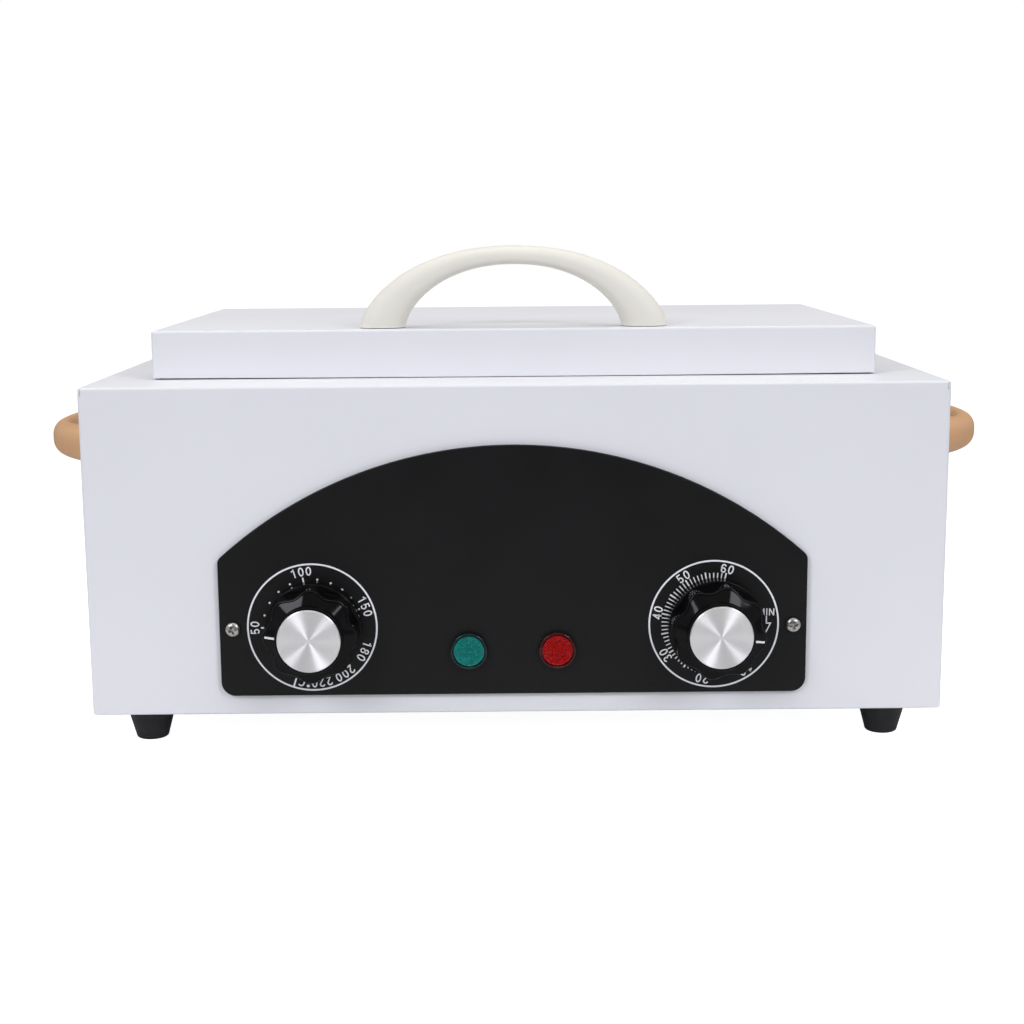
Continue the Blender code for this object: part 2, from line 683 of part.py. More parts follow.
def rod_run_places():
    """The Y of each straight run of the heating element."""
    for i in range(ROD_RUN_COUNT):
        yield LID_MIDDLE_Y + (i - (ROD_RUN_COUNT - 1) / 2) * ROD_RUN_PITCH


def make_heater(frame):
    """Sheathed heating rod bent to and fro under the basin, held up by two flat straps."""
    bend = ROD_RUN_PITCH / 2
    reach = CHAMBER_WIDTH / 2 - ROD_END_MARGIN - bend - ROD_RADIUS
    jacket_face = -(CHAMBER_WIDTH / 2 + CHAMBER_SHEET + SEAT + JACKET_WALL)
    runs = list(rod_run_places())
    path = [(jacket_face - ROD_TAIL, runs[0])]
    for i in range(ROD_RUN_COUNT - 1):
        side = 1 if i % 2 == 0 else -1
        centre = (side * reach, (runs[i] + runs[i + 1]) / 2)
        path += arc(centre, bend, -math.pi / 2, -math.pi / 2 + side * math.pi, BEND_STEPS)
    path.append((jacket_face - ROD_TAIL, runs[-1]))
    points = [(x, y, ROD_Z) for x, y in path]
    piece("heating_element", swept(points, [ROD_RADIUS] * len(points)), STEEL, frame)
    half = CHAMBER_LENGTH / 2 - STRAP_MARGIN
    for side, x in (("left", -STRAP_X), ("right", STRAP_X)):
        low_x = x - STRAP_WIDTH / 2
        high_x = x + STRAP_WIDTH / 2
        bar = box(
            (low_x, LID_MIDDLE_Y - half, STRAP_TOP_Z - STRAP_SHEET),
            (high_x, LID_MIDDLE_Y + half, STRAP_TOP_Z),
        )
        strap = piece(f"heater_strap_{side}", bar, ZINC, frame)
        ends = []
        for end in (-1, 1):
            tip = LID_MIDDLE_Y + end * half
            ends.append(
                (
                    (low_x, min(tip, tip - end * STRAP_SHEET), STRAP_TOP_Z - STRAP_SHEET / 2),
                    (high_x, max(tip, tip - end * STRAP_SHEET), CHAMBER_UNDER_Z - SEAT),
                )
            )
        cut(strap, boxes(ends), operation="UNION")


def bulb_place():
    """Middle of the sensor bulb: against the basin's front wall, low down."""
    y = LID_MIDDLE_Y - CHAMBER_LENGTH / 2 - CHAMBER_SHEET - SEAT - BULB_RADIUS
    return Vector((0.0, y, CHAMBER_UNDER_Z + BULB_RISE))


def capillary_exit_x():
    """Where the capillary goes out through the jacket's front wall, a bend beyond the bulb's end."""
    return bulb_place().x - BULB_LENGTH / 2 - CAPILLARY_RADIUS - CAPILLARY_ARC


def capillary_route():
    """The sensor's centre line: along the bulb, out through the jacket and down to the thermostat."""
    bulb = bulb_place()
    half = BULB_LENGTH / 2
    exit_x = capillary_exit_x()
    thermostat_x = PANEL_SHIFT - DIAL_SPREAD
    thermostat_back = CASE_SHEET + SEAT + THERMOSTAT_SIZE.y
    drop_y = thermostat_back + SEAT + CAPILLARY_RADIUS
    turn_x = (exit_x + thermostat_x) / 2
    points = [
        Vector((bulb.x + half, bulb.y, bulb.z)),
        Vector((bulb.x - half, bulb.y, bulb.z)),
    ]
    centre = (exit_x + CAPILLARY_ARC, bulb.y - CAPILLARY_ARC)
    for x, y in arc(centre, CAPILLARY_ARC, math.pi / 2, math.pi, BEND_STEPS // 2):
        points.append(Vector((x, y, bulb.z)))
    jacket_front = bulb.y - BULB_RADIUS - JACKET_WALL
    points.append(Vector((exit_x, jacket_front - CAPILLARY_ARC / 2, bulb.z)))
    low_z = DIAL_Z + THERMOSTAT_SIZE.z / 4
    points.append(Vector((turn_x, drop_y + CAPILLARY_ARC / 4, bulb.z - CAPILLARY_ARC)))
    points.append(Vector((thermostat_x + CAPILLARY_ARC, drop_y, low_z + CAPILLARY_ARC)))
    points.append(Vector((thermostat_x, drop_y, low_z)))
    radii = [BULB_RADIUS, BULB_RADIUS] + [CAPILLARY_RADIUS] * (len(points) - 2)
    return points, radii


def make_jacket(frame):
    """Mineral wool tray round the basin and its heater, with ways out for the rod and the sensor."""
    inner_x = CHAMBER_WIDTH / 2 + CHAMBER_SHEET + SEAT
    inner_y = CHAMBER_LENGTH / 2 + CHAMBER_SHEET + SEAT
    top = CASE_TOP_Z - CASE_SHEET - SEAT
    bm = box(
        (-inner_x - JACKET_WALL, LID_MIDDLE_Y - inner_y - JACKET_WALL, JACKET_FLOOR_Z - JACKET_WALL),
        (inner_x + JACKET_WALL, LID_MIDDLE_Y + inner_y + JACKET_WALL, top),
    )
    jacket = piece("insulation_jacket", bm, WOOL, frame)
    hollow = box(
        (-inner_x, LID_MIDDLE_Y - inner_y, JACKET_FLOOR_Z),
        (inner_x, LID_MIDDLE_Y + inner_y, top + OVERRUN),
    )
    runs = list(rod_run_places())
    ways = []
    clear = ROD_RADIUS + SEAT
    for y in (runs[0], runs[-1]):
        ways.append(
            (
                (-inner_x - JACKET_WALL - OVERRUN, y - clear, ROD_Z - clear),
                (-inner_x + OVERRUN, y + clear, ROD_Z + clear),
            )
        )
    bulb = bulb_place()
    exit_x = capillary_exit_x()
    slot = CAPILLARY_RADIUS + SEAT
    groove = box(
        (exit_x - slot, bulb.y - BULB_RADIUS - 2 * SEAT, bulb.z - BULB_RADIUS - 2 * SEAT),
        (bulb.x + BULB_LENGTH / 2 + SEAT, LID_MIDDLE_Y - inner_y + OVERRUN, bulb.z + BULB_RADIUS + 2 * SEAT),
    )
    way_out = box(
        (exit_x - slot, LID_MIDDLE_Y - inner_y - JACKET_WALL - OVERRUN, bulb.z - slot),
        (bulb.x - BULB_LENGTH / 2, bulb.y, bulb.z + slot),
    )
    cut(jacket, hollow, boxes(ways), groove, way_out)


def panel_outline():
    """Straight foot with round corners, straight sides, and one long arc over the top."""
    half = PANEL_WIDTH / 2
    arc_z = PANEL_LOW_Z + PANEL_HEIGHT - PANEL_ARC_RADIUS
    inner = half - PANEL_HIGH_CORNER
    fillet_z = arc_z + math.sqrt((PANEL_ARC_RADIUS - PANEL_HIGH_CORNER) ** 2 - inner**2)
    lean = math.atan2(fillet_z - arc_z, inner)
    low = PANEL_LOW_Z + PANEL_LOW_CORNER
    low_x = half - PANEL_LOW_CORNER
    points = arc((low_x, low), PANEL_LOW_CORNER, -math.pi / 2, 0.0, CORNER_STEPS)
    points += arc((inner, fillet_z), PANEL_HIGH_CORNER, 0.0, lean, CORNER_STEPS)
    points += arc((0.0, arc_z), PANEL_ARC_RADIUS, lean, math.pi - lean, PANEL_ARC_STEPS)[1:-1]
    points += arc((-inner, fillet_z), PANEL_HIGH_CORNER, math.pi - lean, math.pi, CORNER_STEPS)
    points += arc((-low_x, low), PANEL_LOW_CORNER, math.pi, 3 * math.pi / 2, CORNER_STEPS)
    return [(PANEL_SHIFT + x, z) for x, z in points]


def make_panel(frame):
    """Control panel: a moulded black plate held to the case's front by a screw at each side."""
    bm = prism(panel_outline(), PANEL_FACE_Y, PANEL_BACK_Y, "Y")
    rim = [
        edge
        for edge in bm.edges
        if all(abs(vert.co.y - PANEL_FACE_Y) < SAME for vert in edge.verts)
    ]
    bmesh.ops.bevel(bm, geom=rim, offset=PANEL_EDGE, segments=EDGE_SEGMENTS, profile=0.5, affect="EDGES")
    panel = piece("control_panel", bm, BLACK, frame)
    through = (PANEL_FACE_Y - OVERRUN, PANEL_BACK_Y + OVERRUN)
    screw_z = CASE_FLOOR_Z + PANEL_SCREW_RISE
    holes = []
    for _, x in dial_places():
        holes.append(disc_hole((x, DIAL_Z), SHAFT_HOLE_RADIUS, *through, "Y"))
    for _, x in lamp_places():
        holes.append(disc_hole((x, LAMP_Z), BARREL_RADIUS + SEAT, *through, "Y"))
    for side in (-1, 1):
        place = (PANEL_SHIFT + side * PANEL_SCREW_SPREAD, screw_z)
        holes.append(disc_hole(place, PANEL_SCREW_RADIUS + SCREW_GAP, *through, "Y", SMALL_SIDES))
    cut(panel, *holes)
    for side, name in ((-1, "left"), (1, "right")):
        place = (PANEL_SHIFT + side * PANEL_SCREW_SPREAD, PANEL_FACE_Y - SEAT, screw_z)
        mesh = pan_screw(
            PANEL_SCREW_RADIUS,
            PANEL_SCREW_LENGTH,
            PANEL_SCREW_HEAD_RADIUS,
            PANEL_SCREW_HEAD,
            cross=True,
        )
        screw = piece(f"panel_screw_{name}", mesh, ZINC, frame, place, FACE_FRONT)
        cut(screw, *cross_recess(PANEL_SCREW_HEAD))


def make_lamps(frame):
    """Pilot lamps: a black bezel with a barrel through the panel, and a coloured lens in it."""
    pocket_radius = LENS_RADIUS + SEAT
    pocket = LENS_HEIGHT + 2 * SEAT
    bezel_profile = [
        (0.0, -BARREL_LENGTH),
        (BARREL_RADIUS, -BARREL_LENGTH),
        (BARREL_RADIUS, 0.0),
        (BEZEL_RADIUS, 0.0),
        (BEZEL_RADIUS, BEZEL_HEIGHT - BEZEL_EDGE),
        (BEZEL_RADIUS - BEZEL_EDGE, BEZEL_HEIGHT),
        (pocket_radius, BEZEL_HEIGHT),
        (pocket_radius, BEZEL_HEIGHT - pocket),
        (0.0, BEZEL_HEIGHT - pocket),
    ]
    lens_low = BEZEL_HEIGHT - pocket + SEAT
    lens_profile = [
        (0.0, lens_low),
        (LENS_RADIUS, lens_low),
        (LENS_RADIUS, lens_low + LENS_HEIGHT - LENS_DOME),
        (LENS_RADIUS * 3 / 4, lens_low + LENS_HEIGHT - LENS_DOME / 4),
        (0.0, lens_low + LENS_HEIGHT),
    ]
    for (colour, x), finish in zip(lamp_places(), (GREEN, RED)):
        place = (x, PANEL_FACE_Y - SEAT, LAMP_Z)
        piece(f"{colour}_lamp_bezel", turned(bezel_profile, LAMP_SIDES), BLACK, frame, place, FACE_FRONT)
        piece(f"{colour}_lamp_lens", turned(lens_profile, LAMP_SIDES), finish, frame, place, FACE_FRONT)


def knob_shape(radius, height, angle):
    """Draws the grip's wall in between its lobes, and runs the cone of its front on to meet it."""
    grip = KNOB_SKIRT_HEIGHT < height <= KNOB_SHOULDER_HEIGHT + KNOB_ROUND
    if not grip or radius <= KNOB_FRONT_RADIUS:
        return radius, height
    dip = KNOB_FLUTE * (1 - math.cos(KNOB_LOBES * angle)) / 2
    if height < KNOB_SHOULDER_HEIGHT:
        return radius - dip, height
    return radius - dip, height + dip * KNOB_CONE_RISE / KNOB_CONE_RUN


def knob_profile():
    """Half section from the bore's blind end, round the skirt and lobed grip, to the cap's pocket."""
    bore = SHAFT_RADIUS + SEAT
    pocket_radius = CAP_RADIUS + SEAT
    return [
        (0.0, KNOB_BORE_DEPTH),
        (bore, KNOB_BORE_DEPTH),
        (bore, 0.0),
        (KNOB_SKIRT_RADIUS, 0.0),
        (KNOB_SKIRT_RADIUS, KNOB_SKIRT_HEIGHT - KNOB_EDGE),
        (KNOB_SKIRT_RADIUS - KNOB_EDGE, KNOB_SKIRT_HEIGHT),
        (KNOB_BODY_RADIUS, KNOB_SKIRT_HEIGHT + KNOB_EDGE),
        (KNOB_SHOULDER_RADIUS, KNOB_SHOULDER_HEIGHT),
        (KNOB_SHOULDER_RADIUS - KNOB_ROUND, KNOB_SHOULDER_HEIGHT + KNOB_ROUND),
        (KNOB_FRONT_RADIUS, KNOB_FRONT_HEIGHT),
        (KNOB_FRONT_RADIUS, KNOB_HEIGHT - KNOB_EDGE / 2),
        (KNOB_FRONT_RADIUS - KNOB_EDGE / 2, KNOB_HEIGHT),
        (pocket_radius, KNOB_HEIGHT),
        (pocket_radius, KNOB_HEIGHT - CAP_POCKET),
        (0.0, KNOB_HEIGHT - CAP_POCKET),
    ]


def make_knobs(frame):
    """Each knob turns with its capped grip and its shaft, about an empty on the shaft's axis."""
    cap_profile = [
        (0.0, CAP_SEAT_HEIGHT),
        (CAP_RADIUS, CAP_SEAT_HEIGHT),
        (CAP_RADIUS, CAP_SEAT_HEIGHT + CAP_SHEET - CAP_DISH),
        (CAP_RADIUS - CAP_DISH, CAP_SEAT_HEIGHT + CAP_SHEET),
        (0.0, CAP_SEAT_HEIGHT + CAP_SHEET - CAP_DISH),
    ]
    shaft_top = KNOB_BORE_DEPTH - SEAT
    shaft_low = KNOB_BACK_Y - CASE_SHEET - SEAT - SHAFT_IN_BODY
    for (name, x), rest in zip(dial_places(), (TEMPERATURE_REST_DEG, TIMER_REST_DEG)):
        # Local +X is the pointer's side; the front's clockwise angles run against local Z turns.
        axle = empty(f"{name}_axis", (x, KNOB_BACK_Y, DIAL_Z), frame, FACE_FRONT)
        turn = (0.0, 0.0, math.radians(90.0 - rest))
        knob_mesh = turned(knob_profile(), KNOB_SIDES, knob_shape)
        piece(f"{name}_knob", knob_mesh, GLOSS_BLACK, axle, turn=turn)
        piece(f"{name}_knob_cap", turned(cap_profile, CAP_SIDES), ALUMINIUM, axle, turn=turn)
        flat = SHAFT_RADIUS - SHAFT_FLAT
        angle = math.acos(flat / SHAFT_RADIUS)
        outline = arc((0.0, 0.0), SHAFT_RADIUS, angle, FULL_TURN - angle, SHAFT_STEPS)
        piece(f"{name}_shaft", prism(outline, shaft_low, shaft_top, "Z"), ZINC, axle, turn=turn)


def make_controls(frame):
    """Thermostat and timer bodies behind the front wall, each bored for its shaft."""
    front = CASE_SHEET + SEAT
    sizes = (THERMOSTAT_SIZE, TIMER_SIZE)
    for (name, x), size, kind in zip(dial_places(), sizes, ("thermostat", "timer")):
        low = (x - size.x / 2, front, DIAL_Z - size.z / 2)
        bm = box(low, Vector(low) + size)

        def across(edge):
            return abs(edge.verts[0].co.y - edge.verts[1].co.y) < SAME

        soften(bm, CONTROL_EDGE, across)
        body = piece(f"{kind}_body", bm, BAKELITE, frame)
        bore = disc_hole(
            (x, DIAL_Z),
            SHAFT_RADIUS + RUNNING_GAP,
            front - OVERRUN,
            front + SHAFT_IN_BODY + SEAT,
            "Y",
        )
        cut(body, bore)
    points, radii = capillary_route()
    piece("thermostat_sensor", swept(points, radii), STEEL, frame)


def bow(name, finish, parent, place, turn):
    """Bow handle along local X, standing up in Z on its two feet, from two superellipse curves."""
    inner_span = BOW_SPAN / 2 - BOW_FOOT
    inner_height = BOW_HEIGHT - BOW_CROWN
    bm = bmesh.new()
    rings = []
    for i in range(BOW_STATIONS + 1):
        angle = math.pi * i / BOW_STATIONS
        run = math.cos(angle)
        rise = max(math.sin(angle), 0.0)
        side = 1 if run >= 0 else -1
        outer = Vector(
            (
                side * BOW_SPAN / 2 * abs(run) ** (2 / BOW_RUN_POWER),
                0.0,
                BOW_HEIGHT * rise ** (2 / BOW_RISE_POWER),
            )
        )
        inner = Vector(
            (
                side * inner_span * abs(run) ** (2 / BOW_RUN_POWER),
                0.0,
                inner_height * rise ** (2 / BOW_RISE_POWER),
            )
        )
        if i in (0, BOW_STATIONS):
            outer.z = 0.0
            inner.z = 0.0
        if i == BOW_STATIONS // 2:
            outer.x = 0.0
            inner.x = 0.0
        band = BOW_BAND_CROWN + (BOW_BAND_FOOT - BOW_BAND_CROWN) * run**2
        middle = (outer + inner) / 2
        half = (outer - inner) / 2
        ring = []
        for k in range(BOW_SECTION_POINTS):
            around = FULL_TURN * k / BOW_SECTION_POINTS
            across = math.copysign(abs(math.cos(around)) ** (2 / BOW_SECTION_POWER), math.cos(around))
            out = math.copysign(abs(math.sin(around)) ** (2 / BOW_SECTION_POWER), math.sin(around))
            ring.append(bm.verts.new(middle + half * out + Vector((0.0, band / 2 * across, 0.0))))
        rings.append(ring)
    for lower, upper in zip(rings, rings[1:]):
        for k in range(BOW_SECTION_POINTS):
            j = (k + 1) % BOW_SECTION_POINTS
            bm.faces.new((lower[k], lower[j], upper[j], upper[k]))
    bm.faces.new(rings[0])
    bm.faces.new(rings[-1])
    handle = piece(name, bm, finish, parent, place, turn)
    reach = handle_screw_reach()
    hole = HANDLE_SCREW_RADIUS + SCREW_GAP
    for x in (-reach, reach):
        cut(handle, disc_hole((x, 0.0), hole, -OVERRUN, HANDLE_SCREW_DEPTH + SEAT, "Z", SMALL_SIDES))
    return handle


def make_handle_screws(names, parent, places, sheet, turn):
    """Screws from inside the sheet into the handle's feet; places lie on the sheet's outer face."""
    length = SEAT + sheet + SEAT + HANDLE_SCREW_DEPTH
    inward = Euler(turn).to_matrix() @ Vector((0.0, 0.0, 1.0))
    for name, place in zip(names, places):
        mesh = pan_screw(HANDLE_SCREW_RADIUS, length, HANDLE_SCREW_HEAD_RADIUS, HANDLE_SCREW_HEAD)
        inside = Vector(place) + inward * (sheet + SEAT)
        piece(name, mesh, ZINC, parent, inside, turn)


def make_side_handles(frame):
    """A tan bow handle lies level on each side of the case."""
    z = CASE_TOP_Z - SIDE_HANDLE_DROP
    reach = handle_screw_reach()
    for name, side in (("left", -1), ("right", 1)):
        x = side * (CASE_WIDTH / 2 + SEAT)
        turn = FACE_RIGHT if side > 0 else FACE_LEFT
        holder = empty(f"side_handle_{name}_seat", (x, SIDE_HANDLE_SETBACK, z), frame, turn)
        along = (0.0, 0.0, math.pi / 2)
        bow(f"side_handle_{name}", TAN, holder, (0.0, 0.0, 0.0), along)
        wall = side * CASE_WIDTH / 2
        places = [(wall, SIDE_HANDLE_SETBACK + end * reach, z) for end in (-1, 1)]
        names = [f"side_handle_screw_{name}_{end}" for end in ("front", "rear")]
        inward = FACE_LEFT if side > 0 else FACE_RIGHT
        make_handle_screws(names, frame, places, CASE_SHEET, inward)


def make_lid(pivot):
    """Lid: a white cover, a steel liner in its underside, wool between them, and its handle."""
    offset = Vector((0.0, HINGE_AXIS_Y, HINGE_AXIS_Z))

    def lid_frame(x, y, z):
        return Vector((x, y, z)) - offset

    half = LID_WIDTH / 2
    bm = box(lid_frame(-half, LID_SETBACK, LID_LOW_Z), lid_frame(half, CASE_DEPTH, LID_TOP_Z))
    low = LID_LOW_Z - HINGE_AXIS_Z

    def at_rim(edge):
        return all(abs(vert.co.z - low) < SAME for vert in edge.verts)

    soften(bm, LID_BEND, at_rim)
    cover = piece("lid_cover", bm, PAINT, pivot)
    inner = half - LID_SHEET
    hollow = box(
        lid_frame(-inner, LID_SETBACK + LID_SHEET, LID_LOW_Z - OVERRUN),
        lid_frame(inner, CASE_DEPTH - LID_SHEET, LID_TOP_Z - LID_SHEET),
    )
    reach = handle_screw_reach()
    handle_y = LID_SETBACK + LID_HANDLE_SETBACK
    holes = []
    for x in (-reach, reach):
        place = lid_frame(x, handle_y, 0.0)
        low_z = LID_TOP_Z - LID_SHEET - OVERRUN - HINGE_AXIS_Z
        high_z = LID_TOP_Z + OVERRUN - HINGE_AXIS_Z
        hole = HANDLE_SCREW_RADIUS + SCREW_GAP
        holes.append(disc_hole(place.xy, hole, low_z, high_z, "Z", SMALL_SIDES))
    cut(cover, hollow, *holes)

    liner_x = inner - SEAT
    liner_front = LID_SETBACK + LID_SHEET + SEAT
    liner_back = CASE_DEPTH - LID_SHEET - SEAT
    bm = box(
        lid_frame(-liner_x, liner_front, LINER_LOW_Z),
        lid_frame(liner_x, liner_back, LINER_LOW_Z + LINER_RIM),
    )
    liner = piece("lid_liner", bm, STEEL, pivot)
    hollow = box(
        lid_frame(-liner_x + LINER_SHEET, liner_front + LINER_SHEET, LINER_LOW_Z + LINER_SHEET),
        lid_frame(liner_x - LINER_SHEET, liner_back - LINER_SHEET, LINER_LOW_Z + LINER_RIM + OVERRUN),
    )
    cut(liner, hollow)

    wool_x = liner_x - LINER_SHEET - SEAT
    wool_low = LINER_LOW_Z + LINER_SHEET + SEAT
    wool_high = LID_TOP_Z - LID_SHEET - SEAT
    wool_front = liner_front + LINER_SHEET + SEAT
    wool_back = liner_back - LINER_SHEET - SEAT
    wool = piece(
        "lid_insulation",
        box(lid_frame(-wool_x, wool_front, wool_low), lid_frame(wool_x, wool_back, wool_high)),
        WOOL,
        pivot,
    )
    dents = []
    dent = HANDLE_SCREW_HEAD_RADIUS + SEAT
    for x in (-reach, reach):
        place = lid_frame(x, handle_y, 0.0)
        depth = wool_high - HANDLE_SCREW_HEAD - 2 * SEAT - HINGE_AXIS_Z
        dents.append(disc_hole(place.xy, dent, depth, wool_high + OVERRUN - HINGE_AXIS_Z, "Z", SMALL_SIDES))
    cut(wool, *dents)

    place = lid_frame(0.0, handle_y, LID_TOP_Z + SEAT)
    bow("lid_handle", OFF_WHITE, pivot, place, (0.0, 0.0, 0.0))
    places = [lid_frame(x, handle_y, LID_TOP_Z) for x in (-reach, reach)]
    names = ["lid_handle_screw_left", "lid_handle_screw_right"]
    make_handle_screws(names, pivot, places, LID_SHEET, FACE_DOWN)


def leaf_outline(side):
    """Section of a hinge leaf about the pin: a flat strip whose end curls round the pin.

    side is 1 for the leaf that goes up from the pin and -1 for the one that goes down. Numbers
    are (Y, Z) from the pin's axis, with the case and the lid on the -Y side."""
    outer = CURL_MIDDLE_RADIUS + HINGE_SHEET / 2
    inner = CURL_MIDDLE_RADIUS - HINGE_SHEET / 2
    start = math.pi
    stop = math.pi + side * math.radians(CURL_DEG)
    tip = side * HINGE_LEAF
    points = [(-inner, tip), (-outer, tip)]
    points += arc((0.0, 0.0), outer, start, stop, CURL_STEPS)
    points += arc((0.0, 0.0), inner, stop, start, CURL_STEPS)
    return points


def make_hinges(frame, pivot):
    """Two steel hinges: a leaf on the case's back, a leaf on the lid's rear edge, and a pin."""
    third = HINGE_WIDTH / 3
    half = HINGE_WIDTH / 2
    curl = CURL_MIDDLE_RADIUS + HINGE_SHEET / 2 + KNUCKLE_GAP
    for name, x in (("left", -HINGE_X), ("right", HINGE_X)):
        case_leaf = piece(
            f"hinge_case_leaf_{name}",
            prism(leaf_outline(-1), -half, half, "X"),
            STEEL,
            frame,
            (x, HINGE_AXIS_Y, HINGE_AXIS_Z),
        )
        middle = third / 2 + KNUCKLE_GAP / 2
        cut(case_leaf, box((-middle, -curl, -curl), (middle, curl, curl)))
        lid_leaf = piece(
            f"hinge_lid_leaf_{name}",
            prism(leaf_outline(1), -half, half, "X"),
            STEEL,
            pivot,
            (x, 0.0, 0.0),
        )
        outer = third / 2 - KNUCKLE_GAP / 2
        ends = [
            ((-half - OVERRUN, -curl, -curl), (-outer, curl, curl)),
            ((outer, -curl, -curl), (half + OVERRUN, curl, curl)),
        ]
        cut(lid_leaf, boxes(ends))
        head = PIN_RADIUS + RUNNING_GAP + PIN_HEAD
        profile = [
            (0.0, -half - SEAT - PIN_HEAD),
            (head, -half - SEAT - PIN_HEAD),
            (head, -half - SEAT),
            (PIN_RADIUS, -half - SEAT),
            (PIN_RADIUS, half + SEAT),
            (head, half + SEAT),
            (head, half + SEAT + PIN_HEAD),
            (0.0, half + SEAT + PIN_HEAD),
        ]
        place = (x, HINGE_AXIS_Y, HINGE_AXIS_Z)
        piece(f"hinge_pin_{name}", turned(profile, SMALL_SIDES), ZINC, frame, place, FACE_RIGHT)


def make_mains(frame):
    """Mains inlet in the back wall, and the terminal block on the base plate behind it."""
    z = CASE_FLOOR_Z + INLET_RISE
    face = CASE_DEPTH + SEAT + INLET_FLANGE.y
    half = INLET_FLANGE / 2
    bm = box((INLET_X - half.x, CASE_DEPTH + SEAT, z - half.z), (INLET_X + half.x, face, z + half.z))
    inlet = piece("power_inlet", bm, BLACK, frame)
    body = INLET_BODY / 2
    shank = box(
        (INLET_X - body.x, face - INLET_BODY.y, z - body.z),
        (INLET_X + body.x, face - INLET_FLANGE.y / 2, z + body.z),
    )
    socket = INLET_SOCKET / 2
    well = box(
        (INLET_X - socket.x, face - INLET_SOCKET.y, z - socket.z),
        (INLET_X + socket.x, face + OVERRUN, z + socket.z),
    )
    pins = []
    root = face - INLET_SOCKET.y - INLET_PIN_ROOT
    tip = face - INLET_SOCKET.y + INLET_PIN.y
    for x, rise in (
        (-INLET_PIN_SPREAD, INLET_LINE_PIN_RISE),
        (0.0, -INLET_EARTH_PIN_DROP),
        (INLET_PIN_SPREAD, INLET_LINE_PIN_RISE),
    ):
        middle_x = INLET_X + x
        middle_z = z + rise
        pins.append(
            (
                (middle_x - INLET_PIN.x / 2, root, middle_z - INLET_PIN.z / 2),
                (middle_x + INLET_PIN.x / 2, tip, middle_z + INLET_PIN.z / 2),
            )
        )
    cut(inlet, shank, operation="UNION")
    cut(inlet, well)
    cut(inlet, boxes(pins), operation="UNION")
    for side, name in ((-1, "left"), (1, "right")):
        x = INLET_X + side * INLET_SCREW_SPREAD
        hole = INLET_SCREW_RADIUS + SCREW_GAP
        cut(inlet, disc_hole((x, z), hole, CASE_DEPTH - OVERRUN, face + OVERRUN, "Y", SMALL_SIDES))
        mesh = pan_screw(INLET_SCREW_RADIUS, INLET_SCREW_LENGTH, INLET_SCREW_HEAD_RADIUS, INLET_SCREW_HEAD)
        piece(f"inlet_screw_{name}", mesh, ZINC, frame, (x, face + SEAT, z), FACE_BACK)
    base = CASE_FLOOR_Z + BASE_SHEET + SEAT
    back = CASE_DEPTH - CASE_SHEET - BASE_SHEET - 2 * SEAT - BLOCK_STEP
    low = (INLET_X - BLOCK_SIZE.x / 2, back - BLOCK_SIZE.y, base)
    high = (INLET_X + BLOCK_SIZE.x / 2, back, base + BLOCK_SIZE.z)
    block = piece("terminal_block", box(low, high), OFF_WHITE, frame)
    step = box(
        (low[0] - OVERRUN, low[1] - OVERRUN, high[2] - BLOCK_STEP),
        (high[0] + OVERRUN, low[1] + BLOCK_STEP, high[2] + OVERRUN),
    )
    cut(block, step)


def main():
    clear_scene()
    frame = empty("case_frame", (0.0, -FOOTPRINT_MIDDLE_Y, 0.0))
    pivot = empty("lid_pivot", (0.0, HINGE_AXIS_Y, HINGE_AXIS_Z), frame)
    make_case(frame)
    make_base(frame)
    make_feet(frame)
    make_chamber(frame)
    make_heater(frame)
    make_jacket(frame)
    make_panel(frame)
    make_lamps(frame)
    make_knobs(frame)
    make_controls(frame)
    make_side_handles(frame)
    make_lid(pivot)
    make_hinges(frame, pivot)
    make_mains(frame)
    bpy.context.view_layer.update()


main()
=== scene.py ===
"""Looks of a bench-top dry heat sterilizer: a white steel box, a hinged lid and a heated basin.

Everything is in metres in the model's own frame: X to the right, Y from the control panel to the
back, Z up from the bench. Places are read from the model's nodes."""

import math
from collections import namedtuple

import bmesh
import bpy
import numpy as np
from mathutils import Matrix, Vector


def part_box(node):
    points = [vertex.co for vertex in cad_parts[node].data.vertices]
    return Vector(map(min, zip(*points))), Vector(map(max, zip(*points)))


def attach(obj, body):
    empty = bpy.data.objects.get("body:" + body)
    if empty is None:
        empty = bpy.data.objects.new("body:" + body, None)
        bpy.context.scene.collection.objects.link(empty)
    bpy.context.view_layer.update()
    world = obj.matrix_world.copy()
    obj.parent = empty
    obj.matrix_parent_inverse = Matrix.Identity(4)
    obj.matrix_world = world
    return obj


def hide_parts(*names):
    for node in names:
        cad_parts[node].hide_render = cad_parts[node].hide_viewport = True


MM = 0.001
scene = bpy.context.scene
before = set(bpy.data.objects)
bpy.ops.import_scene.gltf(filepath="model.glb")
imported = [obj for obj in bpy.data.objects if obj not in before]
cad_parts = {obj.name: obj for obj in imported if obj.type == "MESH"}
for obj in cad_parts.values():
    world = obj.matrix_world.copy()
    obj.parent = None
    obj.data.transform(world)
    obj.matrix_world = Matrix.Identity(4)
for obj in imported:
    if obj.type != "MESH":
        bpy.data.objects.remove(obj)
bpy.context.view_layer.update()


# Camera
# The picture is taken from straight in front, at a hand's height above the lid, so that the tops
# of the case and the lid show as narrow bands. The camera leans by half a degree.
CAMERA_PLACE = Vector((-2.6, -804.7, 221.4)) * MM
CAMERA_DOWN = math.radians(9.678)
CAMERA_RIGHT = math.radians(0.098)
CAMERA_LEAN = math.radians(-0.475)
CAMERA_LENS = 60.28
CAMERA_SENSOR = 36.0


def add(name, data):
    """Puts an object with the data into the scene."""
    made = bpy.data.objects.new(name, data)
    scene.collection.objects.link(made)
    return made


